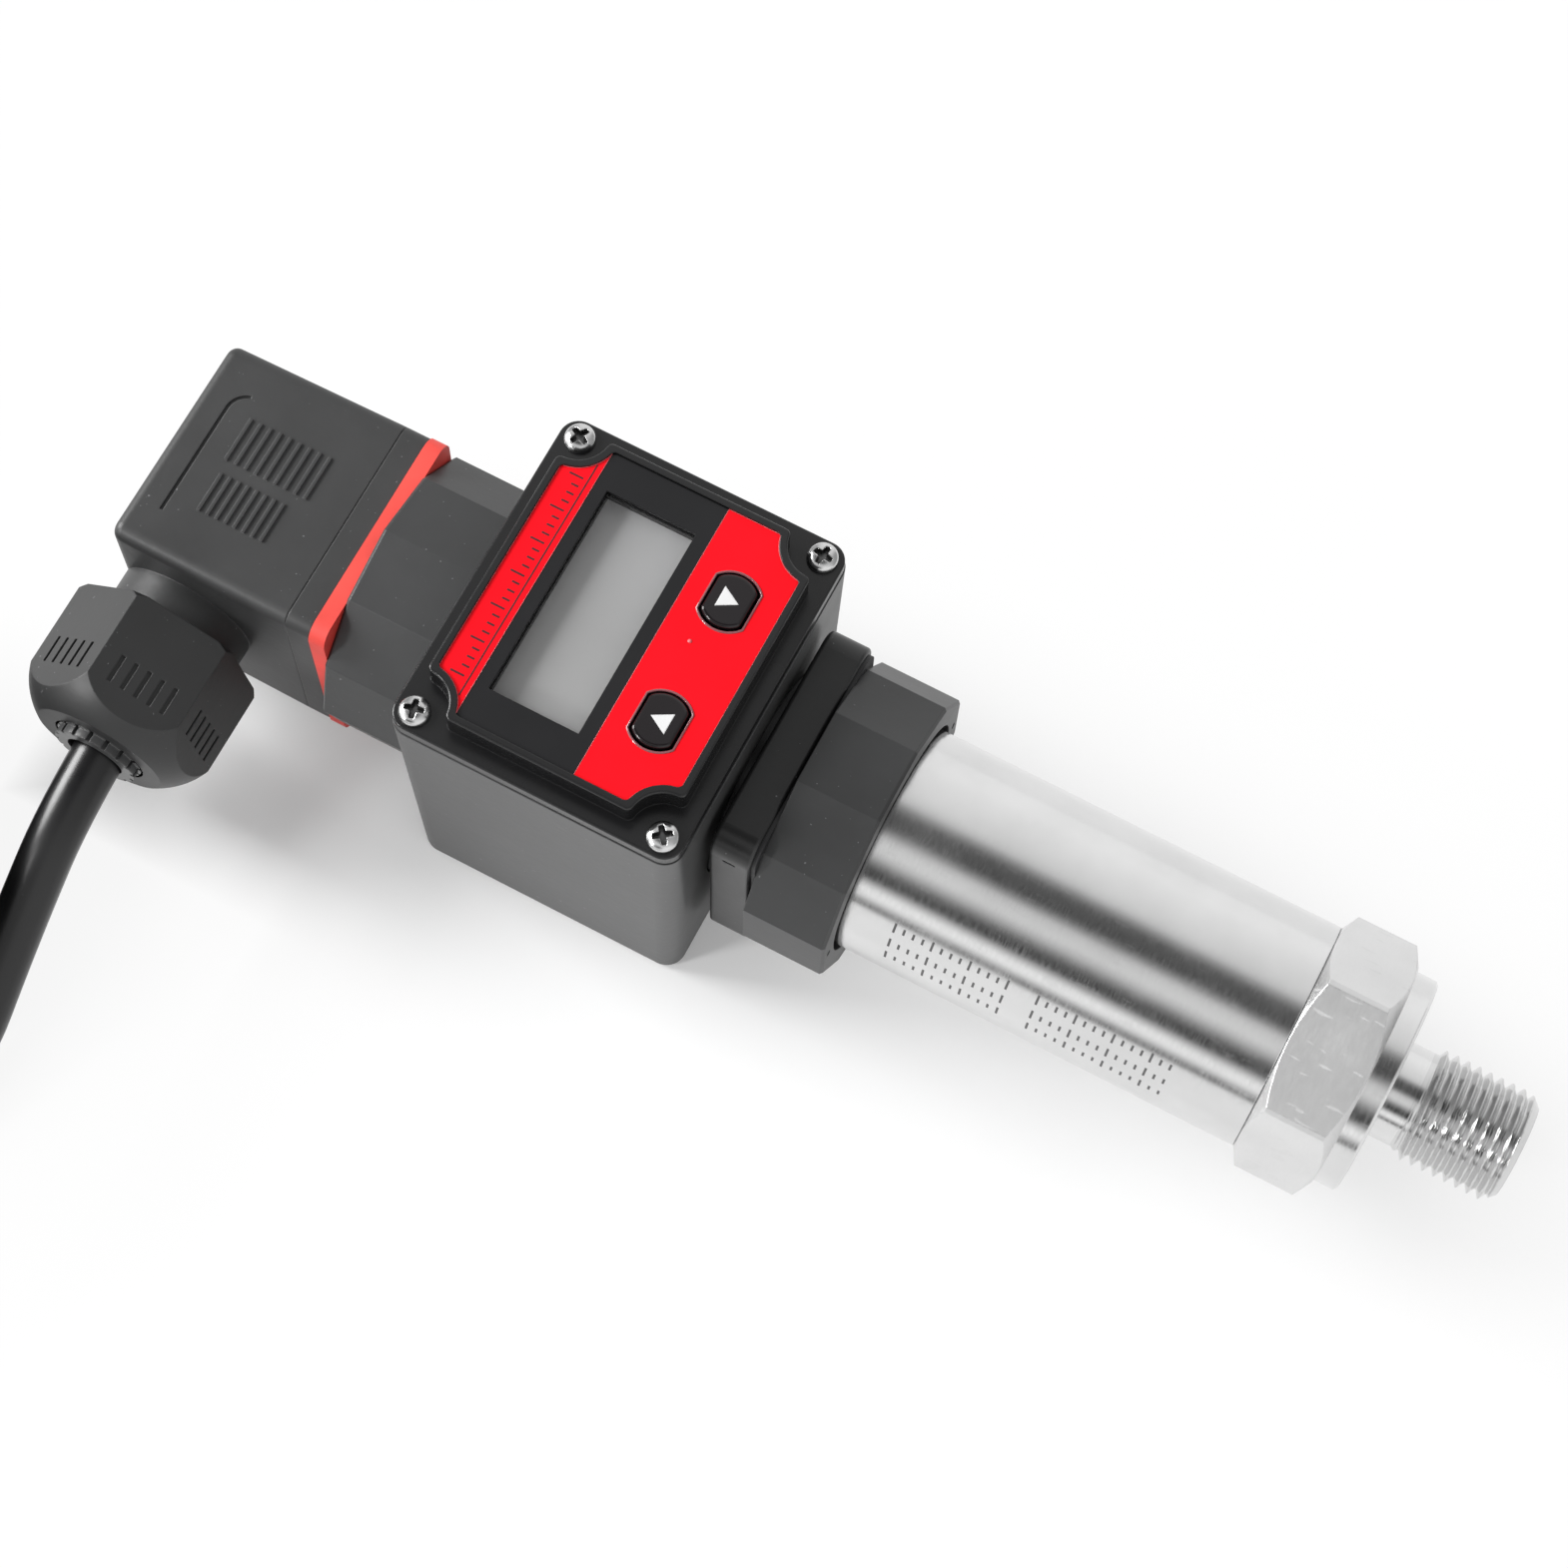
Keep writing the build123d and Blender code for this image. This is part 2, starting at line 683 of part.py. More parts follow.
# Lid: base plate, raised panel with a label recess, window pocket, key holes and studs for the board
with BuildPart() as display_lid:
    with BuildSketch(Plane.XY.offset(box_rim)):
        with Locations((box_x, 0)):
            RectangleRounded(
                box_length - 2 * lid_base_inset,
                box_width - 2 * lid_base_inset,
                box_corner_r - lid_base_inset,
            )
    extrude(amount=lid_base_thickness)
    fillet(faces().sort_by(Axis.Z)[-1].edges(), panel_edge_r)
    with BuildSketch(Plane.XY.offset(lid_base_top)):
        with Locations((box_x, 0)):
            notched(panel_length, panel_width, panel_notch_r, panel_corner_r)
    extrude(amount=panel_top - lid_base_top)
    fillet(faces().sort_by(Axis.Z)[-1].edges(), panel_edge_r)
    with BuildSketch(Plane.XY.offset(label_floor)):
        with Locations((box_x, 0)):
            notched(label_length + 2 * seat_gap, label_width + 2 * seat_gap, label_notch_r, panel_corner_r)
    extrude(amount=panel_top - label_floor, mode=Mode.SUBTRACT)
    with BuildSketch(Plane.XY.offset(box_rim)):
        with Locations((box_x, 0)):
            notched(
                panel_length - 2 * panel_wall,
                panel_width - 2 * panel_wall,
                panel_notch_r + panel_wall,
                panel_corner_r,
            )
    extrude(amount=panel_under - box_rim, mode=Mode.SUBTRACT)
    with BuildSketch(Plane.XY.offset(panel_under)):
        with Locations((lcd_x, 0)):
            Rectangle(lcd_length, lcd_width)
    extrude(amount=panel_skin, mode=Mode.SUBTRACT)
    with BuildSketch(Plane.XY.offset(panel_under)):
        with Locations((key_x, key_pitch / 2), (key_x, -key_pitch / 2)):
            key_outline(key_side_gap)
    extrude(amount=panel_skin, mode=Mode.SUBTRACT)
    with BuildSketch(Plane.XY.offset(window_floor)):
        with Locations((lcd_x, 0)):
            Rectangle(lcd_length + 2 * window_lip, lcd_width + 2 * window_lip)
    extrude(amount=window_thickness, mode=Mode.SUBTRACT)
    with BuildSketch(Plane.XY.offset(box_rim)):
        with Locations((box_x, 0)):
            with GridLocations(lid_screw_pitch_x, lid_screw_pitch_y, 2, 2):
                Circle(lid_screw_d / 2 + screw_gap)
    extrude(amount=lid_base_thickness, mode=Mode.SUBTRACT)
    with BuildSketch(Plane.XY.offset(board_top)):
        with Locations(
            (box_x + stud_row_x, 0),
            (box_x + stud_row_x, stud_row_y),
            (box_x + stud_row_x, -stud_row_y),
            (box_x + stud_left_x, 0),
        ):
            Circle(stud_d / 2)
    extrude(amount=board_stand_off)
    with BuildSketch(Plane.XY.offset(board_top - board_thickness - stud_pin_reach)):
        with Locations(
            (box_x + stud_row_x, 0),
            (box_x + stud_row_x, stud_row_y),
            (box_x + stud_row_x, -stud_row_y),
            (box_x + stud_left_x, 0),
        ):
            Circle(stud_pin_d / 2)
    extrude(amount=board_thickness + stud_pin_reach)

with BuildPart() as face_label:
    with BuildSketch(Plane.XY.offset(label_floor)):
        with Locations((box_x, 0)):
            notched(label_length, label_width, label_notch_r + seat_gap, panel_corner_r)
    extrude(amount=label_thickness)
    with BuildSketch(Plane.XY.offset(label_floor)):
        with Locations((lcd_x, 0)):
            Rectangle(lcd_length, lcd_width)
    extrude(amount=label_thickness, mode=Mode.SUBTRACT)
    with BuildSketch(Plane.XY.offset(label_floor)):
        with Locations((key_x, key_pitch / 2), (key_x, -key_pitch / 2)):
            key_outline(key_side_gap)
    extrude(amount=label_thickness, mode=Mode.SUBTRACT)

with BuildPart() as lcd_window:
    with BuildSketch(Plane.XY.offset(window_floor)):
        with Locations((lcd_x, 0)):
            Rectangle(lcd_length + 2 * window_lip - 2 * seat_gap, lcd_width + 2 * window_lip - 2 * seat_gap)
    extrude(amount=window_thickness)

with BuildPart() as lcd_module:
    with BuildSketch(Plane.XY.offset(board_top)):
        with Locations((lcd_x, 0)):
            Rectangle(lcd_length + 2 * lcd_body_margin, lcd_width + 2 * lcd_body_margin)
    extrude(amount=lcd_module_thickness)

with BuildPart() as display_board:
    with BuildSketch(Plane.XY.offset(board_top - board_thickness)):
        with Locations((box_x, 0)):
            notched(board_length, board_width, board_notch_r, cavity_corner_r)
        with Locations(
            (box_x + stud_row_x, 0),
            (box_x + stud_row_x, stud_row_y),
            (box_x + stud_row_x, -stud_row_y),
            (box_x + stud_left_x, 0),
        ):
            Circle(stud_pin_d / 2 + screw_gap, mode=Mode.SUBTRACT)
    extrude(amount=board_thickness)

with BuildPart() as key_switches:
    with BuildSketch(Plane.XY.offset(board_top)):
        with Locations((key_x, key_pitch / 2), (key_x, -key_pitch / 2)):
            Rectangle(switch_width, switch_width)
    extrude(amount=switch_height)
    with BuildSketch(Plane.XY.offset(board_top + switch_height)):
        with Locations((key_x, key_pitch / 2), (key_x, -key_pitch / 2)):
            Circle(plunger_d / 2)
    extrude(amount=plunger_height)

for key_name, key_side in (("key_up", -1), ("key_down", 1)):
    with BuildPart() as key:
        with BuildSketch(Plane.XY.offset(key_bottom)):
            with Locations((key_x, key_side * key_pitch / 2)):
                key_outline(0)
        extrude(amount=key_top - key_bottom)
        fillet(faces().sort_by(Axis.Z)[-1].edges(), key_edge_r)
        with BuildSketch(Plane.XY.offset(key_bottom)):
            with Locations((key_x, key_side * key_pitch / 2)):
                key_outline(key_flange_width)
        extrude(amount=key_flange_thickness)
    write(key, key_name)

with BuildPart() as lid_screws:
    with BuildSketch(Plane.XY.offset(lid_base_top)):
        with Locations((box_x, 0)):
            with GridLocations(lid_screw_pitch_x, lid_screw_pitch_y, 2, 2):
                Circle(lid_screw_head_d / 2)
    extrude(amount=lid_screw_head_height)
    fillet(faces().group_by(Axis.Z)[-1].edges(), panel_edge_r)
    with BuildSketch(Plane.XY.offset(lid_base_top + lid_screw_head_height - cross_slot_depth)):
        with Locations((box_x, 0)):
            with GridLocations(lid_screw_pitch_x, lid_screw_pitch_y, 2, 2):
                Rectangle(cross_slot_length, cross_slot_width)
                Rectangle(cross_slot_width, cross_slot_length)
    extrude(amount=cross_slot_depth, mode=Mode.SUBTRACT)
    with BuildSketch(Plane.XY.offset(lid_base_top - lid_screw_length)):
        with Locations((box_x, 0)):
            with GridLocations(lid_screw_pitch_x, lid_screw_pitch_y, 2, 2):
                Circle(lid_screw_d / 2)
    extrude(amount=lid_screw_length)

# Twelve-sided rear base: it follows the leaning wall, and its spigot goes through the wall
with BuildPart() as rear_base:
    with BuildSketch(Plane.YZ.offset(rear_base_x)):
        twelve_sided(rear_base_flats, rear_base_turn)
    extrude(amount=rear_base_length + box_taper)
    add(box_blank.part, mode=Mode.SUBTRACT)
    chamfer(faces().sort_by(Axis.X)[0].edges(), edge_break)
    with BuildSketch(Plane.YZ.offset(rear_base_x + nut_insert_length)):
        Circle(rear_spigot_d / 2)
    extrude(amount=rear_spigot_x - rear_base_x - nut_insert_length)
    with BuildSketch(Plane.YZ.offset(rear_base_x)):
        blade_outlines(seat_gap)
    extrude(amount=rear_spigot_x - rear_base_x, mode=Mode.SUBTRACT)
    with BuildSketch(Plane.YZ.offset(rear_base_x)):
        Circle(nut_insert_d / 2 + seat_gap)
    extrude(amount=nut_insert_length, mode=Mode.SUBTRACT)

with BuildPart() as rear_nut:
    with BuildSketch(Plane.YZ.offset(rear_base_x)):
        Circle(nut_insert_d / 2)
        Circle(screw_d / 2 + seat_gap, mode=Mode.SUBTRACT)
    extrude(amount=nut_insert_length)

with BuildPart() as rear_contacts:
    with BuildSketch(Plane.YZ.offset(rear_base_x - blade_reach)):
        blade_outlines(0)
    extrude(amount=blade_reach + rear_spigot_x - rear_base_x + blade_tail_length)

# Cable plug: red seal, insert with contact slots, terminal screws, cover with its screw
with BuildPart() as plug_seal:
    with BuildSketch(Plane.YZ.offset(plug_seal_rear_x)):
        RectangleRounded(plug_seal_width, plug_seal_width, plug_seal_corner_r)
        Rectangle(plug_seal_bore, plug_seal_bore, mode=Mode.SUBTRACT)
    extrude(amount=plug_seal_thickness)

with BuildPart() as plug_insert:
    with BuildSketch(Plane.YZ.offset(plug_seal_rear_x)):
        Rectangle(plug_seal_bore - 2 * seat_gap, plug_seal_bore - 2 * seat_gap)
    extrude(amount=plug_seal_thickness)
    with BuildSketch(Plane.YZ.offset(cover_front_x)):
        RectangleRounded(cover_width, cover_width, cover_corner_r)
    extrude(amount=insert_flange_thickness)
    with BuildSketch(Plane.YZ.offset(insert_rear_x)):
        Rectangle(insert_width, insert_width)
    extrude(amount=insert_depth)
    with BuildSketch(Plane.YZ.offset(rear_base_x - slot_depth)):
        blade_outlines(contact_gap)
    extrude(amount=slot_depth, mode=Mode.SUBTRACT)
    with BuildSketch(Plane.YZ.offset(insert_rear_x)):
        Circle(screw_d / 2 + screw_gap)
    extrude(amount=rear_base_x - insert_rear_x, mode=Mode.SUBTRACT)
    with BuildSketch(Plane.YZ.offset(insert_rear_x)):
        with PolarLocations(blade_offset, 4):
            Circle(terminal_shank_d / 2 + seat_gap)
    extrude(amount=terminal_shank_length, mode=Mode.SUBTRACT)

with BuildPart() as terminal_screws:
    with BuildSketch(Plane.YZ.offset(insert_rear_x)):
        with PolarLocations(blade_offset, 4):
            Circle(terminal_d / 2)
    extrude(amount=-terminal_height)
    with BuildSketch(Plane.YZ.offset(insert_rear_x)):
        with PolarLocations(blade_offset, 4):
            Circle(terminal_shank_d / 2)
    extrude(amount=terminal_shank_length)
    with BuildSketch(Plane.YZ.offset(insert_rear_x - terminal_height)):
        with PolarLocations(blade_offset, 4, rotate=False):
            Rectangle(terminal_d, screw_slot_width)
    extrude(amount=terminal_height / 2, mode=Mode.SUBTRACT)

# The cover's upper face leans a little, and the ribs and the corner line follow it
cover_top = Plane(
    origin=(cover_front_x, 0, cover_width / 2),
    x_dir=(cover_length, 0, cover_taper),
    z_dir=(-cover_taper, 0, cover_length),
)
with BuildPart() as plug_cover:
    with BuildSketch(Plane.YZ.offset(cover_rear_x)):
        RectangleRounded(cover_rear_width, cover_rear_width, cover_corner_r)
    with BuildSketch(Plane.YZ.offset(cover_front_x)):
        RectangleRounded(cover_width, cover_width, cover_corner_r)
    loft()
    fillet(faces().sort_by(Axis.X)[0].edges(), cover_edge_r)
    chamfer(faces().sort_by(Axis.X)[-1].edges(), seam_break)
    with BuildSketch(Plane.YZ.offset(cover_rear_x + cover_wall)):
        Rectangle(cover_width - 2 * cover_wall, cover_width - 2 * cover_wall)
    extrude(amount=cover_length - cover_wall, mode=Mode.SUBTRACT)
    with BuildSketch(Plane.YZ.offset(cover_rear_x + cover_wall)):
        Circle(screw_boss_d / 2)
    extrude(amount=screw_boss_length - cover_wall)
    with BuildSketch(Plane.YZ.offset(cover_rear_x)):
        Circle(screw_well_d / 2)
    extrude(amount=screw_well_depth, mode=Mode.SUBTRACT)
    with BuildSketch(Plane.YZ.offset(cover_rear_x)):
        Circle(screw_d / 2 + running_gap)
    extrude(amount=screw_boss_length, mode=Mode.SUBTRACT)
    with BuildSketch(Plane.XZ.offset(nozzle_start)):
        with Locations((gland_x, 0)):
            Circle(gland_neck_d / 2)
    extrude(amount=neck_end - nozzle_start)
    with BuildSketch(Plane.XZ.offset(neck_end)):
        with Locations((gland_x, 0)):
            Circle(gland_thread_d / 2)
    extrude(amount=gland_thread_length)
    with BuildSketch(Plane.XZ.offset(nozzle_start)):
        with Locations((gland_x, 0)):
            Circle(cable_way_d / 2)
    extrude(amount=seal_start - nozzle_start, mode=Mode.SUBTRACT)
    with BuildSketch(Plane.XZ.offset(seal_start)):
        with Locations((gland_x, 0)):
            Circle(seal_seat_d / 2)
    extrude(amount=seal_seat_depth, mode=Mode.SUBTRACT)
    with BuildSketch(cover_top.offset(-grip_rib_root)):
        with Locations((grip_x_a, grip_y_a)):
            with GridLocations(grip_pitch_a, grip_length_a, grip_count_a, 1):
                Rectangle(grip_rib_width, grip_length_a)
        with Locations((grip_x_b, grip_y_b)):
            with GridLocations(grip_pitch_b, grip_length_b, grip_count_b, 1):
                Rectangle(grip_rib_width, grip_length_b)
    extrude(amount=grip_rib_root + grip_rib_height)
    with BuildSketch(cover_top.offset(-corner_line_depth)):
        with BuildLine():
            corner_line = Line((corner_line_x, corner_line_low_y), (corner_line_x, corner_line_high_y))
            JernArc(corner_line @ 1, corner_line % 1, corner_line_r, -75)
        trace(line_width=corner_line_width)
    extrude(amount=cover_wall, mode=Mode.SUBTRACT)

with BuildPart() as plug_screw:
    with BuildSketch(Plane.YZ.offset(screw_seat_x - screw_head_height)):
        Circle(screw_head_d / 2)
    extrude(amount=screw_head_height)
    with BuildSketch(Plane.YZ.offset(screw_seat_x)):
        Circle(screw_d / 2)
    extrude(amount=plug_screw_length)
    with BuildSketch(Plane.YZ.offset(screw_seat_x - screw_head_height)):
        Rectangle(screw_head_d, screw_slot_width)
    extrude(amount=screw_slot_depth, mode=Mode.SUBTRACT)

# Cable gland: rubber seal in the neck, slotted clamp ring, and the nut that presses it in
with BuildPart() as gland_seal:
    with BuildSketch(Plane.XZ.offset(seal_start)):
        with Locations((gland_x, 0)):
            Circle(seal_seat_d / 2 - seat_gap)
            Circle(cable_r + seat_gap, mode=Mode.SUBTRACT)
    extrude(amount=gland_seal_length)

with BuildPart() as clamp_ring:
    with BuildSketch(Plane.XZ.offset(seal_end)):
        with Locations((gland_x, 0)):
            Circle(seal_seat_d / 2 - seat_gap)
    extrude(amount=clamp_start - seal_end)
    with BuildSketch(Plane.XZ.offset(clamp_start)):
        with Locations((gland_x, 0)):
            Circle(clamp_flange_d / 2)
    extrude(amount=clamp_flange_length)
    with BuildSketch(Plane.XZ.offset(clamp_start)):
        with Locations((gland_x, 0)):
            Circle(clamp_d / 2)
    extrude(amount=clamp_end - clamp_start)
    with BuildSketch(Plane.XZ.offset(clamp_end)):
        with Locations((gland_x, 0)):
            Circle(clamp_lip_d / 2)
    extrude(amount=clamp_lip_length)
    with BuildSketch(Plane.XZ.offset(clamp_end - clamp_lip_length)):
        with Locations((gland_x, 0)):
            with PolarLocations(clamp_d / 2, clamp_slot_count):
                Rectangle(2 * clamp_slot_depth, clamp_slot_width)
    extrude(amount=2 * clamp_lip_length, mode=Mode.SUBTRACT)
    with BuildSketch(Plane.XZ.offset(seal_end)):
        with Locations((gland_x, 0)):
            Circle(clamp_bore_d / 2)
    extrude(amount=clamp_end + clamp_lip_length - seal_end, mode=Mode.SUBTRACT)

nut_corner_r = nut_flats / 2 / math.cos(math.radians(30))
nut_shoulder = nut_end - nut_dome_length
with BuildPart() as gland_nut:
    with BuildSketch(Plane.XZ.offset(nut_start)):
        with Locations((gland_x, 0)):
            RegularPolygon(nut_corner_r, 6, rotation=nut_turn)
    extrude(amount=nut_length)
    with BuildSketch(Plane.XY):
        with BuildLine():
            Polyline(
                (gland_x, -nut_start),
                (gland_x + nut_corner_r - nut_chamfer, -nut_start),
                (gland_x + nut_corner_r, -nut_start - nut_chamfer),
                (gland_x + nut_corner_r, -nut_shoulder),
            )
            RadiusArc(
                (gland_x + nut_corner_r, -nut_shoulder),
                (gland_x + nut_end_d / 2, -nut_end),
                2 * nut_dome_length,
            )
            Polyline(
                (gland_x + nut_end_d / 2, -nut_end),
                (gland_x, -nut_end),
                (gland_x, -nut_start),
            )
        make_face()
    revolve(axis=Axis((gland_x, 0, 0), (0, 1, 0)), mode=Mode.INTERSECT)
    for side in range(6):
        side_angle = math.radians(nut_turn + 30 + 60 * side)
        side_out = (math.cos(side_angle), 0, math.sin(side_angle))
        side_plane = Plane(origin=(gland_x, -nut_start, 0), x_dir=(0, -1, 0), z_dir=side_out)
        with BuildSketch(side_plane.offset(nut_flats / 2 - nut_groove_depth)):
            with Locations((nut_groove_start + nut_groove_length / 2, 0)):
                with GridLocations(1, nut_groove_pitch, 1, nut_groove_count):
                    Rectangle(nut_groove_length, nut_groove_width)
        extrude(amount=nut_groove_depth, mode=Mode.SUBTRACT)
    with BuildSketch(Plane.XZ.offset(nut_start)):
        with Locations((gland_x, 0)):
            Circle(gland_thread_d / 2 + screw_gap)
    extrude(amount=nut_length - nut_mouth_length, mode=Mode.SUBTRACT)
    with BuildSketch(Plane.XZ.offset(nut_start)):
        with Locations((gland_x, 0)):
            Circle(nut_mouth_d / 2)
    extrude(amount=nut_length, mode=Mode.SUBTRACT)

# Cable: its tail inside the plug with bare cores, the run from the gland to the coil, the coil, and its end
with BuildPart() as cable_tail:
    with BuildSketch(Plane.XZ.offset(tail_end)):
        with Locations((gland_x, 0)):
            Circle(cable_r)
    extrude(amount=cable_start - tail_end)

with BuildPart() as tail_cores:
    with BuildSketch(Plane.XZ.offset(tail_end)):
        with Locations((gland_x, 0)):
            with PolarLocations(core_ring_r, core_count):
                Circle(core_d / 2)
    extrude(amount=-tail_core_length)

run_radii = bend_radii(cable_route)
with BuildPart() as cable_run:
    with BuildLine() as run_line:
        FilletPolyline(*cable_route, radius=run_radii)
    with BuildSketch(Plane(origin=run_line.line @ 0, z_dir=run_line.line % 0)):
        Circle(cable_r)
    sweep()
check_tube("cable run", cable_run.part, run_line.line, run_radii)

end_radii = bend_radii(end_route)
with BuildPart() as cable_end:
    with BuildLine() as end_line:
        FilletPolyline(*end_route, radius=end_radii)
    with BuildSketch(Plane(origin=end_line.line @ 0, z_dir=end_line.line % 0)):
        Circle(cable_r)
    sweep()
check_tube("cable end", cable_end.part, end_line.line, end_radii)

with BuildPart() as cable_cores:
    with BuildSketch(Plane(origin=end_line.line @ 1, z_dir=end_line.line % 1)):
        with PolarLocations(core_ring_r, core_count):
            Circle(core_d / 2)
    extrude(amount=core_length)

coil_width = coil_across * cable_d
coil_height = coil_rows * cable_d
with BuildPart() as cable_coil:
    with BuildSketch(Plane.XZ.offset(-coil_y)):
        with Locations((coil_x + coil_middle_d / 2, coil_floor + coil_height / 2)):
            RectangleRounded(coil_width, coil_height, coil_corner_r)
    revolve(axis=Axis((coil_x, coil_y, 0), (0, 0, 1)))
    add(cable_run.part, mode=Mode.SUBTRACT)
    add(cable_end.part, mode=Mode.SUBTRACT)

# Two flat ties round the coil, each a closed band
tie_width = coil_width + 2 * coil_tie_thickness
tie_height = coil_height + 2 * coil_tie_thickness
with BuildPart() as coil_ties:
    with BuildSketch(Plane.XZ.offset(-coil_y - coil_tie_width / 2)):
        with Locations((coil_x - coil_middle_d / 2, coil_floor + coil_height / 2)):
            RectangleRounded(tie_width, tie_height, coil_corner_r + coil_tie_thickness)
    extrude(amount=coil_tie_width)
    with BuildSketch(Plane.YZ.offset(coil_x - coil_tie_width / 2)):
        with Locations((coil_y + coil_middle_d / 2, coil_floor + coil_height / 2)):
            RectangleRounded(tie_width, tie_height, coil_corner_r + coil_tie_thickness)
    extrude(amount=coil_tie_width)
    add(cable_coil.part, mode=Mode.SUBTRACT)

coil_cable = coil_turns * math.pi * coil_middle_d
print("cable length", round(length_of(run_line.line) + length_of(end_line.line) + coil_cable))

write(process_connection, "process_connection")
write(sensor_tube, "sensor_tube")
write(cell_seal, "cell_seal")
write(measuring_cell, "measuring_cell")
write(cell_lock_ring, "cell_lock_ring")
write(amplifier_board, "amplifier_board")
write(base_collar, "base_collar")
write(collar_nut, "collar_nut")
write(collar_contacts, "collar_contacts")
write(socket_seal, "socket_seal")
write(head_socket, "head_socket")
write(turn_ring, "turn_ring")
write(head_screw, "head_screw")
write(display_housing, "display_housing")
write(lid_seal, "lid_seal")
write(display_lid, "display_lid")
write(face_label, "face_label")
write(lcd_window, "lcd_window")
write(lcd_module, "lcd_module")
write(display_board, "display_board")
write(key_switches, "key_switches")
write(lid_screws, "lid_screws")
write(rear_base, "rear_base")
write(rear_nut, "rear_nut")
write(rear_contacts, "rear_contacts")
write(plug_seal, "plug_seal")
write(plug_insert, "plug_insert")
write(terminal_screws, "terminal_screws")
write(plug_cover, "plug_cover")
write(plug_screw, "plug_screw")
write(gland_seal, "gland_seal")
write(clamp_ring, "clamp_ring")
write(gland_nut, "gland_nut")
write(cable_tail, "cable_tail")
write(tail_cores, "tail_cores")
write(cable_run, "cable_run")
write(cable_end, "cable_end")
write(cable_cores, "cable_cores")
write(cable_coil, "cable_coil")
write(coil_ties, "coil_ties")
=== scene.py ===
import math

import bmesh
import bpy
from mathutils import Matrix, Vector


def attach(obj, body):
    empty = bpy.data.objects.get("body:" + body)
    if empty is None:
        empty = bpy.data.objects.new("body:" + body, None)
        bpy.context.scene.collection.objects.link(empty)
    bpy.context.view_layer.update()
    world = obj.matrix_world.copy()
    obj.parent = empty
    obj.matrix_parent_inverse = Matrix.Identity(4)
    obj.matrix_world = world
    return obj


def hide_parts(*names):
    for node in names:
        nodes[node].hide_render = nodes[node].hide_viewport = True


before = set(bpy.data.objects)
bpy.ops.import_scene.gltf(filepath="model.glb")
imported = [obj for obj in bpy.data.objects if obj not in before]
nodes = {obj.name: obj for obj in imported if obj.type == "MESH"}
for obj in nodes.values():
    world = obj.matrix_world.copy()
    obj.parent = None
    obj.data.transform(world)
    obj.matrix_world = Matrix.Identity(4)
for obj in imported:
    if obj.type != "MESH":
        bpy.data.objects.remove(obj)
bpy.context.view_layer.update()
MM = 0.001

# Camera, fitted to the photograph: its place, and which way its right, up and back sides point
CAMERA_PLACE = Vector((-21.83, -123.55, 372.69)) * MM
CAMERA_RIGHT = Vector((0.8845, 0.4661, 0.0197))
CAMERA_UP = Vector((-0.4440, 0.8281, 0.3422))
CAMERA_BACK = Vector((0.1432, -0.3114, 0.9394))
CAMERA_LENS = 80.24
SENSOR_WIDTH = 36.0

# The cable, in millimetres: the same route as its CAD tube, and the coil that it is wound into
FLOOR = -20.5
CABLE_D = 6.2
CABLE_R = CABLE_D / 2
TIE_THICKNESS = 0.8
COIL_LOW = FLOOR + TIE_THICKNESS + CABLE_R
COIL_ROWS = 4
COIL_HIGH = COIL_LOW + (COIL_ROWS - 1) * CABLE_D
COIL_CENTRE = (-194.0, -63.4)
COIL_MIDDLE_R = 31.0
COIL_TURNS = 6.64
COIL_START = 270.0
POINTS_PER_TURN = 16
GLAND_X = -149.1
CABLE_ROUTE = [
    (GLAND_X, -20.0, 0.0),
    (GLAND_X, -38.0, 0.0),
    (-148.6, -54.5, -7.6),
    (-147.0, -71.9, -14.9),
    (-155.0, -88.8, FLOOR + CABLE_R),
    (-172.6, -98.0, COIL_LOW),
    (-194.0, -97.5, COIL_LOW),
]
END_ROUTE = [
    (-167.3, -40.2, COIL_HIGH),
    (-158.9, -54.6, COIL_HIGH + 1.9),
    (-158.3, -71.6, COIL_HIGH + 4.4),
    (-166.0, -86.9, COIL_HIGH + 6.0),
    (-179.8, -96.9, COIL_HIGH + 6.4),
]

# Where the wound cable steps inwards, outwards and up to the next row, in turns
STEPS_IN = ((0.80, 1.00), (4.08, 4.26))
STEPS_OUT = ((2.44, 2.62), (5.72, 5.90))
STEPS_UP = ((1.62, 1.80), (3.26, 3.44), (4.90, 5.08))

# Points round turned shapes. Sizes below are in millimetres where nothing else is said.
AROUND = 96

# Process thread: its sizes, where it runs out into the relief, and the shares of its pitch in crest and flank
THREAD_D = 13.157
THREAD_PITCH = 1.337
THREAD_DEPTH = 0.856
THREAD_LENGTH = 12.3
THREAD_CHAMFER = 1.2
THREAD_RUN_OUT = (-0.2, 0.9)
THREAD_CREST_SHARE = 0.10
THREAD_FLANK_SHARE = 0.76
THREAD_STEPS_PER_PITCH = 14
# Where the thread's darker steel, which is painted shade, begins
THREAD_SHADE_FROM_X = -0.3
RELIEF_D = 11.4
RELIEF_CUT_X = -3.38
RELIEF_END_X = -0.4
HEX_FRONT_X = -6.12
PORT_D = 4.0
PORT_CHAMFER = 0.35
PORT_CHAMFER_DEPTH = 0.3

# Etched ticks on the tube: rows in degrees from straight up, and groups by their first place and count
TUBE_R = 13.5
ETCH_ROWS = (58.5, 69.0, 79.5)
ETCH_GROUPS = ((-59.0, 13), (-41.5, 15))
ETCH_PITCH = 1.15
ETCH_HALF_WIDTH = 0.14
ETCH_HALF_HEIGHT = 0.7
ETCH_SHORT_SHARE = 0.6
ETCH_SUNK = 0.01
ETCH_RAISED = 0.012

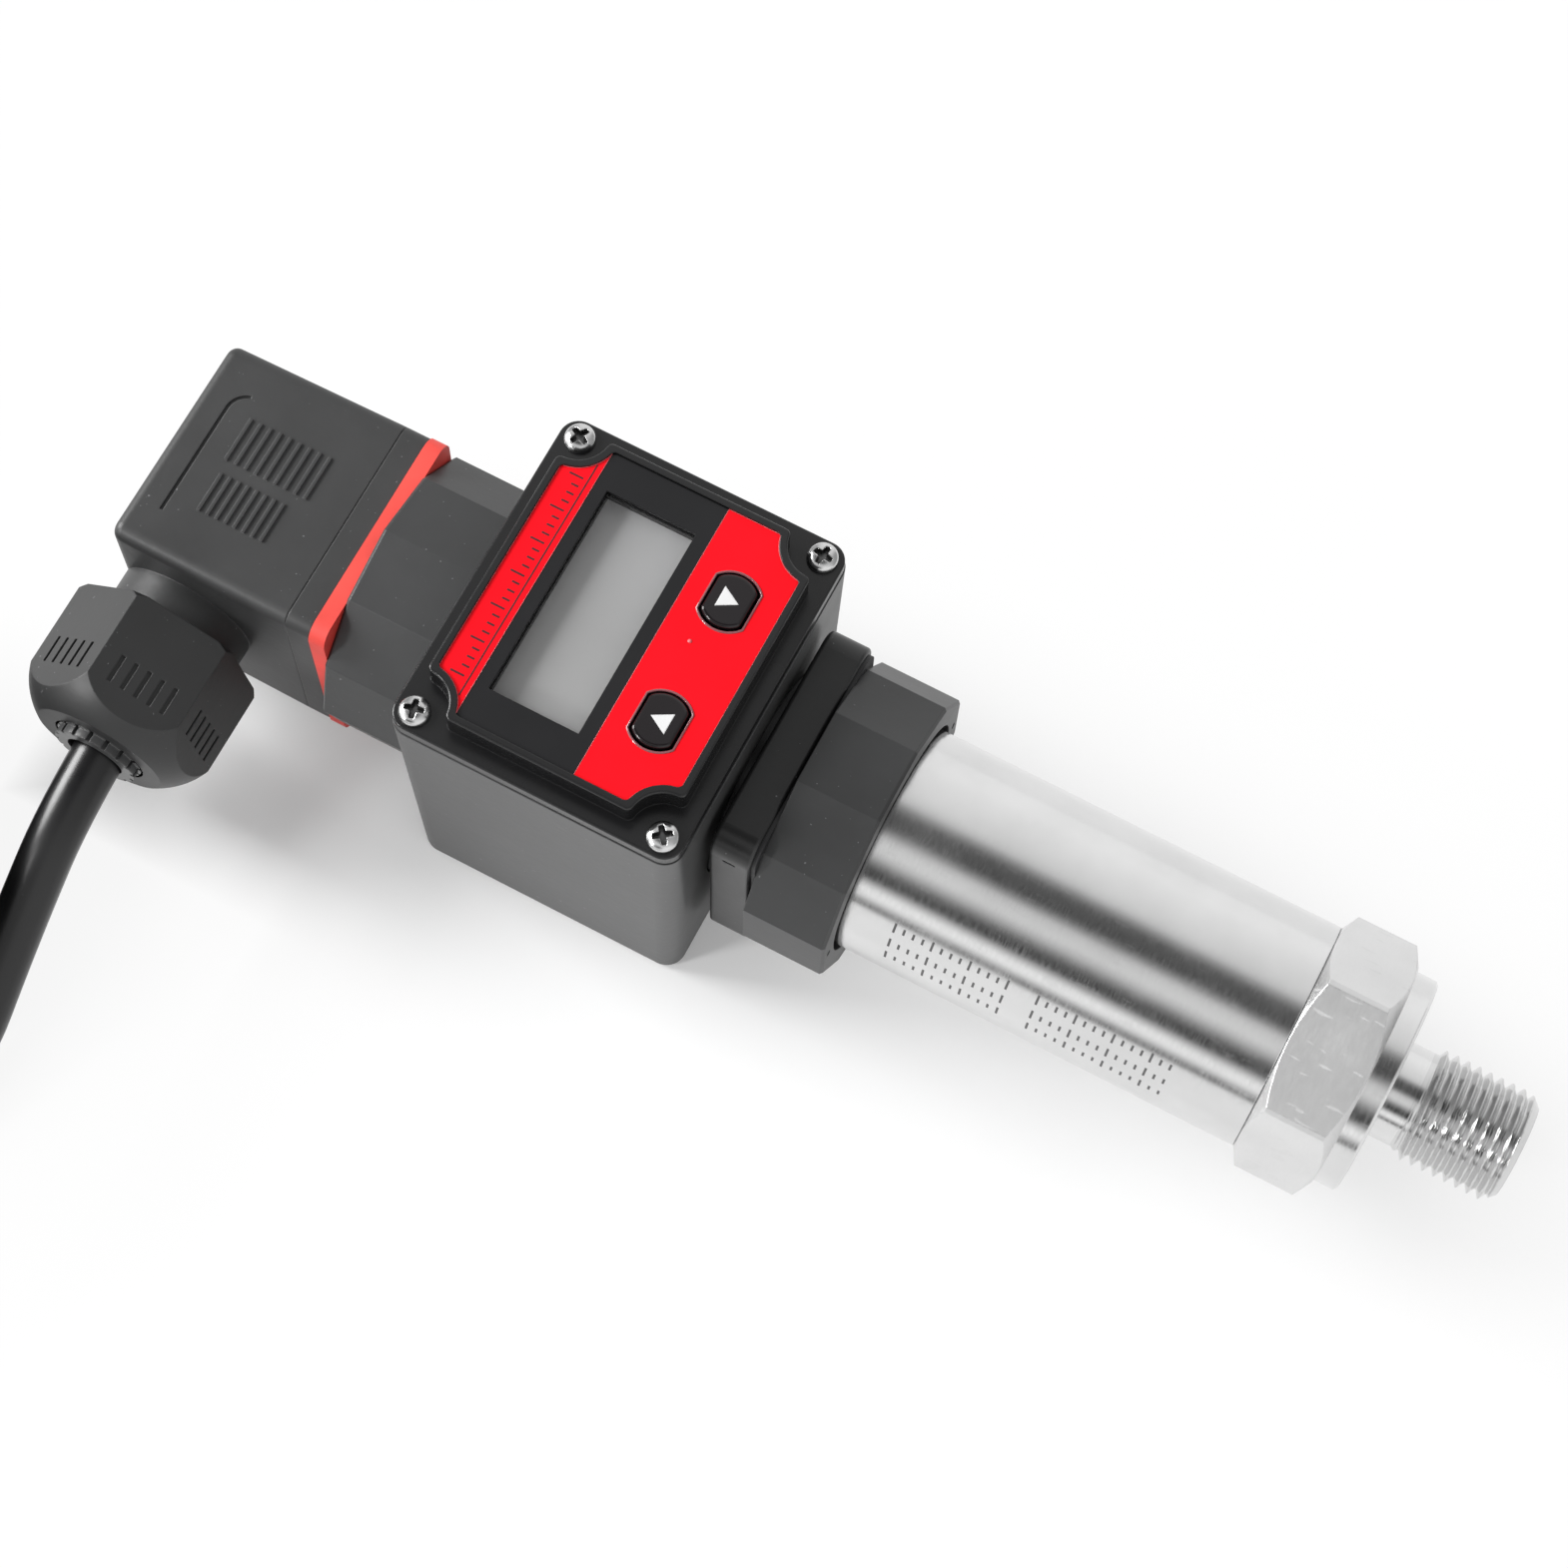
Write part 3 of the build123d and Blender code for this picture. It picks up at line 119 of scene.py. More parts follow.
# Lid screws: their places, heads and shanks, and the driver's cross
LID_CENTRE_X = -99.2
SCREW_PITCH_X = 30.4
SCREW_PITCH_Y = 36.8
SCREW_TURNS = (12.0, 64.0, 37.0, 81.0)
SCREW_SEAT = 20.8
SCREW_HEAD_R = 1.8
SCREW_RIM_HEIGHT = 0.30
SCREW_DOME_HEIGHT = 0.90
SCREW_DOME_POWER = 2.4
SCREW_DOME_STEPS = 26
SCREW_CENTRE_R = 0.03
SCREW_HEAD_CHAMFER = 0.12
SCREW_SHANK_R = 1.0
SCREW_LENGTH = 10.0
SCREW_TIP_CHAMFER = 0.4
CROSS_DEPTH = 1.0
CROSS_HALF_WIDTH = 0.36
CROSS_NARROWING = 0.10
CROSS_WALL = 0.05
CROSS_END = (0.85, 1.20)
# How far out and how deep the driver's cross gets its darker steel, a painted shade with some oil
RECESS_SHADE_R = 1.3
RECESS_SHADE_DEPTH = 0.12

# Label and its prints
LABEL_TOP = 23.8
LABEL_LENGTH = 29.6
LABEL_WIDTH = 35.1
LABEL_NOTCH_R = 4.85
PRINT_LOW = LABEL_TOP - 0.01
PRINT_HIGH = LABEL_TOP + 0.03
INK_HIGH = PRINT_HIGH + 0.015
BEAD_HEIGHT = PRINT_HIGH - 0.02
EDGE_R = 0.055
LEFT_BAND_EDGE_X = -109.65
RIGHT_BAND_EDGE_X = -95.2
LINE_X = LEFT_BAND_EDGE_X - 0.75
LINE_HALF_WIDTH = 0.09
LINE_HALF_LENGTH = 15.4
SCALE_X = LINE_X - 0.6
SCALE_TICKS = 25
SCALE_HALF_LENGTH = 13.2
SCALE_LONG = 1.7
SCALE_SHORT = 0.9
SCALE_HALF_WIDTH = 0.12
DOT_X = -91.6
DOT_Y = 1.8
DOT_R = 0.25
DOT_PROFILE = ((DOT_R, 0.0), (DOT_R * 0.9, 0.05), (DOT_R * 0.6, 0.11), (DOT_R * 0.2, 0.14))
DOT_AROUND = 16

# Keys: their outline, the gap in the band round them, their rims and triangles
KEY_X = -90.0
KEY_PITCH = 15.7
KEY_ROUND_D = 6.4
KEY_FLAT_WIDTH = 4.8
KEY_TOP = 24.3
KEY_HOLE_GAP = 0.28
KEY_RIM_GAP = 0.40
KEY_RIM_R = 0.15
MARK_HALF_LENGTH = 1.15
MARK_HALF_WIDTH = 1.3
MARK_SUNK = 0.01
MARK_RAISED = 0.03

# Floor: its reach and its nearer edge in metres, and its gap below the part in millimetres
FLOOR_REACH = 3.0
FLOOR_NEAR = 0.45
FLOOR_GAP = 0.02

# Lights: name, place, size and power, all aimed at the middle, and the studio's strength
LIGHTS_AIM = (-0.07, 0.0, 0.0)
LIGHTS = (
    ("key_light", (-0.887, -0.076, 0.437), 0.45, 10.5),
    ("glint_light", (-0.52, -0.50, 0.36), 0.12, 2.0),
)
STUDIO_STRENGTH = 1.15

# The tube mirrors the studio at this place along X, and its ends are lit differently between two distances
STUDIO_MIDDLE_X = -0.14
STUDIO_END_FROM = 0.30
STUDIO_END_TO = 0.60

# Brightness of the studio straight across the main axis: degrees from straight up, positive towards
# the camera's side. Pale panels and dark gaps between them give the tube its bands.
STUDIO_ACROSS = (
    (-90, 0.95),
    (-70, 0.95),
    (-42, 0.82),
    (-27, 0.74),
    (-19, 0.64),
    (-13, 0.30),
    (-6, 0.10),
    (10, 0.06),
    (16, 0.26),
    (22, 0.66),
    (34, 0.76),
    (40, 0.58),
    (48, 0.20),
    (54, 0.06),
    (62, 0.04),
    (68, 0.60),
    (73, 1.00),
    (80, 1.00),
    (86, 0.40),
    (90, 0.12),
)

# Brightness of the studio towards the two ends of the main axis, by the same angle
STUDIO_ENDS = ((-90, 0.32), (-20, 0.42), (10, 0.66), (45, 1.00), (90, 0.95))


def new_object(name, bm, material, body, smooth_angle=35.0):
    """A mesh object from a bmesh, shaded smooth up to an angle, that rides on a body."""
    mesh = bpy.data.meshes.new(name)
    bm.to_mesh(mesh)
    bm.free()
    for face in mesh.polygons:
        face.use_smooth = True
    mesh.set_sharp_from_angle(angle=math.radians(smooth_angle))
    piece = bpy.data.objects.new(name, mesh)
    bpy.context.collection.objects.link(piece)
    mesh.materials.append(material)
    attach(piece, body)
    return piece


def paint(node, material):
    """Gives a CAD node its material."""
    for slot in nodes[node].material_slots:
        slot.material = material


class Nodes:
    """Helpers that add nodes to a node tree."""

    def __init__(self, tree):
        self.tree = tree

    def node(self, kind, **settings):
        made = self.tree.nodes.new(kind)
        for key, value in settings.items():
            setattr(made, key, value)
        return made

    def link(self, source, target):
        self.tree.links.new(source, target)

    def place_parts(self, place):
        """A place's X, Y and Z."""
        made = self.node("ShaderNodeSeparateXYZ")
        self.link(place, made.inputs["Vector"])
        return made.outputs

    def ramp(self, value, stops):
        """Colours along a value, as (position, colour) stops."""
        made = self.node("ShaderNodeValToRGB")
        ramp = made.color_ramp
        for index, (position, colour) in enumerate(stops):
            element = ramp.elements[index] if index < 2 else ramp.elements.new(position)
            element.position = position
            element.color = (*colour, 1.0)
        self.link(value, made.inputs["Fac"])
        return made.outputs["Color"]

    def levels(self, value, low, high, out_low, out_high):
        """A value mapped from one range to another, and held inside it."""
        made = self.node("ShaderNodeMapRange")
        for socket, number in (
            ("From Min", low),
            ("From Max", high),
            ("To Min", out_low),
            ("To Max", out_high),
        ):
            made.inputs[socket].default_value = number
        self.link(value, made.inputs["Value"])
        return made.outputs["Result"]

    def math(self, operation, first, second=0.0):
        """One step of arithmetic on two values, each a number or a socket."""
        made = self.node("ShaderNodeMath", operation=operation)
        for socket, value in zip(made.inputs, (first, second)):
            if isinstance(value, (int, float)):
                socket.default_value = value
            else:
                self.link(value, socket)
        return made.outputs[0]

    def mix(self, share, first, second):
        """A colour between two, each a colour or a socket."""
        made = self.node("ShaderNodeMix", data_type="RGBA")
        self.link(share, made.inputs["Factor"])
        for socket, value in (("A", first), ("B", second)):
            if isinstance(value, tuple):
                made.inputs[socket].default_value = (*value, 1.0)
            else:
                self.link(value, made.inputs[socket])
        return made.outputs["Result"]

    def blend(self, share, first, second):
        """A shader between two."""
        made = self.node("ShaderNodeMixShader")
        for socket, value in zip(made.inputs, (share, first, second)):
            self.link(value, socket)
        return made.outputs[0]


class Shader(Nodes):
    """A material with one Principled shader and helpers for its surface."""

    def __init__(self, name, **values):
        self.material = bpy.data.materials.new(name)
        self.material.use_nodes = True
        super().__init__(self.material.node_tree)
        self.surface = self.tree.nodes["Principled BSDF"]
        self.place = self.node("ShaderNodeTexCoord").outputs["Object"]
        for socket, value in values.items():
            self.surface.inputs[socket.replace("_", " ")].default_value = value

    def stretched(self, scale):
        """The surface's place, scaled along each axis."""
        mapping = self.node("ShaderNodeMapping")
        mapping.inputs["Scale"].default_value = scale
        self.link(self.place, mapping.inputs["Vector"])
        return mapping.outputs["Vector"]

    def noise(self, scale, detail=3.0, roughness=0.55, vector=None):
        made = self.node("ShaderNodeTexNoise")
        made.inputs["Scale"].default_value = scale
        made.inputs["Detail"].default_value = detail
        made.inputs["Roughness"].default_value = roughness
        self.link(vector or self.place, made.inputs["Vector"])
        return made.outputs["Fac"]

    def blotches(self, colour, scale, detail, darker, paler):
        """Gives the surface uneven colour, and returns the noise that it follows."""
        blotch = self.noise(scale, detail)
        dark = tuple(part * darker for part in colour)
        pale = tuple(min(1.0, part * paler) for part in colour)
        self.drive("Base Color", self.ramp(blotch, [(0.3, dark), (0.7, pale)]))
        return blotch

    def soft_edges(self, radius):
        """The normal with edges rounded by a radius, and how near a point is to an edge."""
        bevel = self.node("ShaderNodeBevel", samples=4)
        bevel.inputs["Radius"].default_value = radius
        plain = self.node("ShaderNodeNewGeometry")
        turn = self.node("ShaderNodeVectorMath", operation="DOT_PRODUCT")
        self.link(bevel.outputs["Normal"], turn.inputs[0])
        self.link(plain.outputs["Normal"], turn.inputs[1])
        return bevel.outputs["Normal"], self.levels(turn.outputs["Value"], 0.80, 0.98, 1.0, 0.0)

    def bump(self, height, strength, distance, normal=None):
        made = self.node("ShaderNodeBump")
        if normal:
            self.link(normal, made.inputs["Normal"])
        made.inputs["Strength"].default_value = strength
        made.inputs["Distance"].default_value = distance
        self.link(height, made.inputs["Height"])
        self.link(made.outputs["Normal"], self.surface.inputs["Normal"])

    def drive(self, socket, value):
        self.link(value, self.surface.inputs[socket])


def grey(level, tint=0.0):
    """A near grey, a little blue for a positive tint."""
    return (level * (1 - tint), level, level * (1 + tint))


def plastic(name, level, tint, roughness, grain, grain_depth, wear=0.18):
    """Moulded plastic: fine grain, faint blotches of colour and gloss, pale specks, and paler edges that are
    partly rubbed wear and partly a painted highlight.
    """
    shader = Shader(name, IOR=1.5)
    normal, edge = shader.soft_edges(0.00022)
    blotch = shader.noise(60.0, detail=4.0)
    fine = shader.noise(grain, detail=2.0)
    dust = shader.noise(1900.0, detail=1.0)
    base = shader.ramp(
        blotch, [(0.3, grey(level * (1 - wear), tint)), (0.7, grey(level * (1 + wear), tint))]
    )
    speckled = shader.mix(shader.levels(dust, 0.76, 0.80, 0.0, 0.35), base, (0.32, 0.32, 0.33))
    # Paler edges: partly rubbed wear, partly a painted highlight along the edges
    rubbed_and_highlit_edges = shader.math("MULTIPLY", edge, shader.levels(blotch, 0.35, 0.65, 0.15, 0.75))
    shader.drive("Base Color", shader.mix(rubbed_and_highlit_edges, speckled, grey(level * 2.4 + 0.03)))
    shader.drive("Roughness", shader.levels(blotch, 0.25, 0.75, roughness - 0.05, roughness + 0.05))
    shader.bump(fine, 0.35, grain_depth, normal)
    return shader.material


def steel(name, level, roughness, scratch, along, depth, nicks=0.0):
    """Turned or brushed steel: fine lines across one axis, smears in the gloss, and a few long nicks."""
    shader = Shader(name, Metallic=1.0)
    lines = shader.noise(scratch, 2.0, 0.6, shader.stretched(along))
    smear = shader.noise(90.0)
    long_spots = shader.noise(330.0, 1.0, 0.5, shader.stretched((1.0, 5.0, 0.7)))
    nick = shader.levels(long_spots, 0.66, 0.70, 0.0, nicks)
    shader.drive(
        "Base Color",
        shader.ramp(smear, [(0.25, grey(level * 0.93)), (0.75, grey(level * 1.05))]),
    )
    rough = shader.math("ADD", shader.levels(lines, 0.3, 0.7, -0.04, 0.05), roughness)
    rough = shader.math("ADD", rough, shader.levels(smear, 0.55, 0.75, 0.0, 0.05))
    shader.drive("Roughness", shader.math("ADD", rough, nick))
    shader.bump(shader.math("SUBTRACT", lines, nick), 0.25, depth, shader.soft_edges(0.0002)[0])
    return shader.material


def rubber(name, colour, roughness):
    """Soft rubber or cable jacket: matte sheen and a faint uneven surface."""
    shader = Shader(name, IOR=1.5)
    blotch = shader.blotches(colour, 140.0, 4.0, 0.82, 1.12)
    shader.drive("Roughness", shader.levels(blotch, 0.3, 0.7, roughness - 0.04, roughness + 0.05))
    shader.bump(shader.noise(900.0), 0.2, 0.00004)
    return shader.material


def gloss(name, colour, roughness, coat=0.0, shine=0.5):
    """Glossy plastic or printed foil, with slight waviness in its gloss and softened edges."""
    shader = Shader(name, IOR=1.5, Coat_Weight=coat, Coat_Roughness=0.05, Specular_IOR_Level=shine)
    normal = shader.soft_edges(0.00018)[0]
    blotch = shader.blotches(colour, 120.0, 3.0, 0.93, 1.05)
    shader.drive("Roughness", shader.levels(blotch, 0.3, 0.7, roughness - 0.03, roughness + 0.04))
    shader.bump(shader.noise(260.0, detail=2.0), 0.12, 0.00003, normal)
    return shader.material


def display_grey():
    """The blank display: pale grey, a little darker along its middle."""
    shader = Shader("display_grey", IOR=1.45)
    along = shader.levels(shader.place_parts(shader.place)["Y"], -0.0132, 0.0132, 0.0, 1.0)
    tone = shader.math("ADD", shader.math("MULTIPLY", shader.noise(80.0, detail=2.0), 0.12), along)
    shader.drive(
        "Base Color",
        shader.ramp(tone, [(0.0, (0.55, 0.55, 0.55)), (0.5, (0.52, 0.52, 0.52)), (1.0, (0.56, 0.56, 0.565))]),
    )
    shader.drive("Roughness", shader.levels(shader.noise(400.0), 0.3, 0.7, 0.30, 0.42))
    return shader.material


def clear_window():
    """The thin clear window over the display."""
    shader = Shader("clear_window", Alpha=0.14, IOR=1.49)
    shader.surface.inputs["Base Color"].default_value = (0.05, 0.05, 0.05, 1.0)
    shader.drive("Roughness", shader.levels(shader.noise(150.0), 0.3, 0.7, 0.02, 0.07))
    return shader.material


# Plastics give level, tint, roughness, grain and grain depth; steels give level, roughness, scratch,
# stretch along each axis, depth and nicks
MATERIALS = {
    "cover": plastic("cover_plastic", 0.028, 0.01, 0.44, 900.0, 0.00005),
    "collar": plastic("collar_plastic", 0.030, 0.02, 0.42, 900.0, 0.00004),
    "socket": plastic("socket_plastic", 0.012, 0.02, 0.34, 900.0, 0.00003),
    "housing": plastic("housing_plastic", 0.055, 0.01, 0.40, 800.0, 0.00005),
    "nut": plastic("nut_plastic", 0.018, 0.01, 0.44, 900.0, 0.00004),
    "clamp": plastic("clamp_plastic", 0.05, 0.01, 0.30, 900.0, 0.00004),
    "lid": gloss("lid_plastic", (0.007, 0.007, 0.0075), 0.26),
    "label_black": gloss("label_black", (0.012, 0.012, 0.013), 0.38, shine=0.25),
    "label_red": gloss("label_red", (0.86, 0.004, 0.012), 0.45, shine=0.10),
    "key": gloss("key_plastic", (0.006, 0.004, 0.005), 0.16, 0.1, 0.4),
    "key_rim": gloss("key_rim", (0.24, 0.07, 0.08), 0.12, 1.0),
    "edge_line": gloss("edge_line", (0.80, 0.15, 0.17), 0.30),
    "white": gloss("white_print", (0.70, 0.70, 0.70), 0.40),
    "ink": gloss("dark_ink", (0.07, 0.006, 0.010), 0.45),
    "etch": gloss("grey_etching", (0.10, 0.10, 0.10), 0.55),
    "tube": steel("tube_steel", 0.70, 0.17, 900.0, (9.0, 1.0, 1.0), 0.000008, 0.03),
    "bright": steel("bright_steel", 0.72, 0.17, 700.0, (6.0, 1.0, 1.0), 0.000012, 0.05),
    "hexagon": steel("hexagon_steel", 0.74, 0.38, 700.0, (6.0, 1.0, 1.0), 0.000012, 0.14),
    # The thread's steel is darker than the rest of the same part: painted shade over the thread
    "thread": steel("shaded_thread_steel", 0.64, 0.13, 700.0, (6.0, 1.0, 1.0), 0.000006, 0.05),
    "screw": steel("screw_steel", 0.62, 0.20, 900.0, (1.0, 1.0, 1.0), 0.00001),
    # Darker steel for the driver's cross: painted shade in the recess, with some oil
    "recess_shade_and_oil": steel("recess_shade_and_oil", 0.16, 0.35, 900.0, (1.0, 1.0, 1.0), 0.00001),
    "brass": steel("contact_brass", 0.62, 0.25, 900.0, (1.0, 4.0, 4.0), 0.00001),
    "red_rubber": rubber("red_rubber", (0.78, 0.060, 0.045), 0.55),
    "black_rubber": rubber("black_rubber", (0.012, 0.012, 0.013), 0.60),
    "cable": rubber("cable_jacket", (0.006, 0.006, 0.0065), 0.30),
    "tie": rubber("tie_plastic", (0.030, 0.030, 0.032), 0.40),
    "core": rubber("core_jacket", (0.20, 0.09, 0.05), 0.45),
    "board": gloss("board_green", (0.02, 0.11, 0.05), 0.35),
    "ceramic": rubber("ceramic", (0.78, 0.76, 0.70), 0.50),
    "display": display_grey(),
    "window": clear_window(),
}

NODE_PAINT = {
    "process_connection": "bright",
    "sensor_tube": "tube",
    "cell_seal": "black_rubber",
    "measuring_cell": "ceramic",
    "cell_lock_ring": "bright",
    "amplifier_board": "board",
    "base_collar": "collar",
    "collar_nut": "brass",
    "collar_contacts": "brass",
    "socket_seal": "black_rubber",
    "head_socket": "socket",
    "turn_ring": "socket",
    "head_screw": "screw",
    "display_housing": "housing",
    "lid_seal": "black_rubber",
    "display_lid": "lid",
    "face_label": "label_black",
    "lcd_window": "window",
    "lcd_module": "display",
    "display_board": "board",
    "key_switches": "socket",
    "key_up": "key",
    "key_down": "key",
    "lid_screws": "screw",
    "rear_base": "collar",
    "rear_nut": "brass",
    "rear_contacts": "brass",
    "plug_seal": "red_rubber",
    "plug_insert": "cover",
    "terminal_screws": "screw",
    "plug_cover": "cover",
    "plug_screw": "screw",
    "gland_seal": "black_rubber",
    "clamp_ring": "clamp",
    "gland_nut": "nut",
    "cable_tail": "cable",
    "tail_cores": "core",
    "cable_run": "cable",
    "cable_end": "cable",
    "cable_cores": "core",
    "cable_coil": "cable",
    "coil_ties": "tie",
}


def add_camera():
    """The photograph's camera, with no shift."""
    data = bpy.data.cameras.new("camera")
    data.lens = CAMERA_LENS
    data.sensor_width = SENSOR_WIDTH
    data.clip_start = 0.01
    data.clip_end = 20.0
    camera = bpy.data.objects.new("camera", data)
    turn = Matrix((CAMERA_RIGHT, CAMERA_UP, CAMERA_BACK)).transposed()
    camera.matrix_world = Matrix.Translation(CAMERA_PLACE) @ turn.to_4x4()
    bpy.context.collection.objects.link(camera)
    bpy.context.scene.camera = camera


def ease(value, start, end):
    """0 before start and 1 after end, smooth between them."""
    share = min(1.0, max(0.0, (value - start) / (end - start)))
    return share * share * (3 - 2 * share)


def coil_points():
    """The coil's turns: out and in by turns, row on row, one cable beside the next."""
    outer = COIL_MIDDLE_R + CABLE_R
    points = []
    widen = 1 / math.cos(math.pi / POINTS_PER_TURN)
    for index in range(1, int(COIL_TURNS * POINTS_PER_TURN) + 1):
        turns = index / POINTS_PER_TURN
        inwards = sum(ease(turns, *step) for step in STEPS_IN)
        outwards = sum(ease(turns, *step) for step in STEPS_OUT)
        radius = outer - CABLE_D * (inwards - outwards)
        height = COIL_LOW + CABLE_D * sum(ease(turns, *step) for step in STEPS_UP)
        angle = math.radians(COIL_START - 360 * turns)
        points.append(
            (
                COIL_CENTRE[0] + widen * radius * math.cos(angle),
                COIL_CENTRE[1] + widen * radius * math.sin(angle),
                height,
            )
        )
    return points


def add_cable():
    """The cable as one smooth spline from the gland, through the coil, to its bare end."""
    points = CABLE_ROUTE + coil_points() + END_ROUTE[1:]
    curve = bpy.data.curves.new("cable", "CURVE")
    curve.dimensions = "3D"
    curve.bevel_depth = CABLE_R * MM
    curve.bevel_resolution = 8
    curve.use_fill_caps = True
    spline = curve.splines.new("NURBS")
    spline.points.add(len(points) - 1)
    for target, place in zip(spline.points, points):
        target.co = (*(part * MM for part in place), 1.0)
    spline.order_u = 3
    spline.use_endpoint_u = True
    spline.resolution_u = 10
    cable = bpy.data.objects.new("cable", curve)
    bpy.context.collection.objects.link(cable)
    curve.materials.append(MATERIALS["cable"])
    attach(cable, "head")
    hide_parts("cable_run", "cable_coil", "cable_end")


def round_angles(count):
    """Evenly spaced angles of one full turn."""
    return [2 * math.pi * index / count for index in range(count)]


def ring_round_x(x, radius_at):
    """A row of points round the main axis, with a radius for each angle."""
    return [
        (x * MM, radius_at(angle) * math.cos(angle) * MM, radius_at(angle) * math.sin(angle) * MM)
        for angle in round_angles(AROUND)
    ]


def ring_round_z(centre, radius, count, height_at):
    """A row of points round an upright axis, with a height for each angle."""
    return [
        (
            (centre[0] + radius * math.cos(angle)) * MM,
            (centre[1] + radius * math.sin(angle)) * MM,
            height_at(angle) * MM,
        )
        for angle in round_angles(count)
    ]


def lathe_rows(bm, rows):
    """Joins rows of points round an axis into quads, and returns the rows' corners."""
    made = [[bm.verts.new(point) for point in row] for row in rows]
    for near, far in zip(made, made[1:]):
        for index in range(len(near)):
            following = (index + 1) % len(near)
            bm.faces.new((near[index], far[index], far[following], near[following]))
    return made


def closed_lathe(bm, rows):
    """Joins rows of points into quads and closes both ends."""
    made = lathe_rows(bm, rows)
    bm.faces.new(made[0])
    bm.faces.new(made[-1])


def thread_radius(x, angle):
    """The thread's radius along X and round it: a rounded V on a helix, cut by the tip's chamfer."""
    share = (x / THREAD_PITCH - angle / (2 * math.pi)) % 1.0
    crest = abs(2 * share - 1)
    flank = min(1.0, max(0.0, (crest - THREAD_CREST_SHARE) / THREAD_FLANK_SHARE))
    fade = ease(x, *THREAD_RUN_OUT)
    radius = THREAD_D / 2 - THREAD_DEPTH * flank * fade - (1 - fade) * (THREAD_D - RELIEF_D) / 2
    chamfer = THREAD_D / 2 - THREAD_CHAMFER + (THREAD_LENGTH - x)
    return min(radius, chamfer)


def thread_rows():
    """Rows of points along the relief and the thread, and back through the port."""
    rows = [ring_round_x(x, lambda angle: RELIEF_D / 2) for x in (RELIEF_CUT_X, RELIEF_END_X)]
    start = THREAD_RUN_OUT[0]
    count = int(THREAD_LENGTH / THREAD_PITCH * THREAD_STEPS_PER_PITCH)
    for step in range(count + 1):
        x = start + (THREAD_LENGTH - start) * step / count
        rows.append(ring_round_x(x, lambda angle: thread_radius(x, angle)))
    rows.append(ring_round_x(THREAD_LENGTH, lambda angle: PORT_D / 2 + PORT_CHAMFER))
    for x in (THREAD_LENGTH - PORT_CHAMFER_DEPTH, RELIEF_CUT_X):
        rows.append(ring_round_x(x, lambda angle: PORT_D / 2))
    return rows


def add_process_connection():
    """The process connection: the CAD hexagon and disc, and a real thread in place of the plain stub."""
    bm = bmesh.new()
    bm.from_mesh(nodes["process_connection"].data)
    bmesh.ops.bisect_plane(
        bm,
        geom=bm.verts[:] + bm.edges[:] + bm.faces[:],
        plane_co=(RELIEF_CUT_X * MM, 0, 0),
        plane_no=(1, 0, 0),
        clear_outer=True,
    )
    lathe_rows(bm, thread_rows())
    piece = new_object("threaded_connection", bm, MATERIALS["bright"], "transmitter", 28.0)
    piece.data.materials.append(MATERIALS["hexagon"])
    piece.data.materials.append(MATERIALS["thread"])
    # The hexagon gets its brushed steel, and the thread a darker steel that is painted shade
    for face in piece.data.polygons:
        if face.center.x < HEX_FRONT_X * MM:
            face.material_index = 1
        elif face.center.x > THREAD_SHADE_FROM_X * MM:
            face.material_index = 2
    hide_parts("process_connection")


def dome_height(radius):
    """How high a screw's domed head stands over its seat at a distance from its centre."""
    dome = math.sqrt(max(0.0, 1 - (radius / SCREW_HEAD_R) ** SCREW_DOME_POWER))
    return SCREW_RIM_HEIGHT + SCREW_DOME_HEIGHT * dome


def cross_depth(x, y):
    """How deep the driver's cross is at a place on a screw's head, its arms narrower further out."""
    out, side = max(abs(x), abs(y)), min(abs(x), abs(y))
    half = CROSS_HALF_WIDTH - CROSS_NARROWING * out
    floor = CROSS_DEPTH * (1 - ease(out, *CROSS_END))
    return floor * (1 - ease(side, half - CROSS_WALL, half + CROSS_WALL))


def screw_rows(centre, turn):
    """Rows of points for one screw, from the middle of its head out and down to its tip."""

    def domed(radius):
        def height(angle):
            turned = angle - math.radians(turn)
            cross = cross_depth(radius * math.cos(turned), radius * math.sin(turned))
            return SCREW_SEAT + (dome_height(radius) - cross)

        return ring_round_z(centre, radius, AROUND, height)

    reach = SCREW_HEAD_R - SCREW_CENTRE_R
    rows = [domed(SCREW_CENTRE_R + reach * step / SCREW_DOME_STEPS) for step in range(SCREW_DOME_STEPS + 1)]
    for radius, height in (
        (SCREW_HEAD_R, SCREW_HEAD_CHAMFER),
        (SCREW_HEAD_R - SCREW_HEAD_CHAMFER, 0.0),
        (SCREW_SHANK_R, 0.0),
        (SCREW_SHANK_R, SCREW_TIP_CHAMFER - SCREW_LENGTH),
        (SCREW_SHANK_R - SCREW_TIP_CHAMFER, -SCREW_LENGTH),
    ):
        rows.append(ring_round_z(centre, radius, AROUND, lambda angle: SCREW_SEAT + height))
    return rows


def paint_recess_shade(piece):
    """Gives the walls and floor of each driver's cross the darker steel: painted shade in the recess, with
    some oil.
    """
    piece.data.materials.append(MATERIALS["recess_shade_and_oil"])
    for face in piece.data.polygons:
        x = abs(face.center.x / MM - LID_CENTRE_X) - SCREW_PITCH_X / 2
        y = abs(face.center.y / MM) - SCREW_PITCH_Y / 2
        radius = math.hypot(x, y)
        height = face.center.z / MM - SCREW_SEAT
        if radius < RECESS_SHADE_R and 0 < height < dome_height(radius) - RECESS_SHADE_DEPTH:
            face.material_index = 1


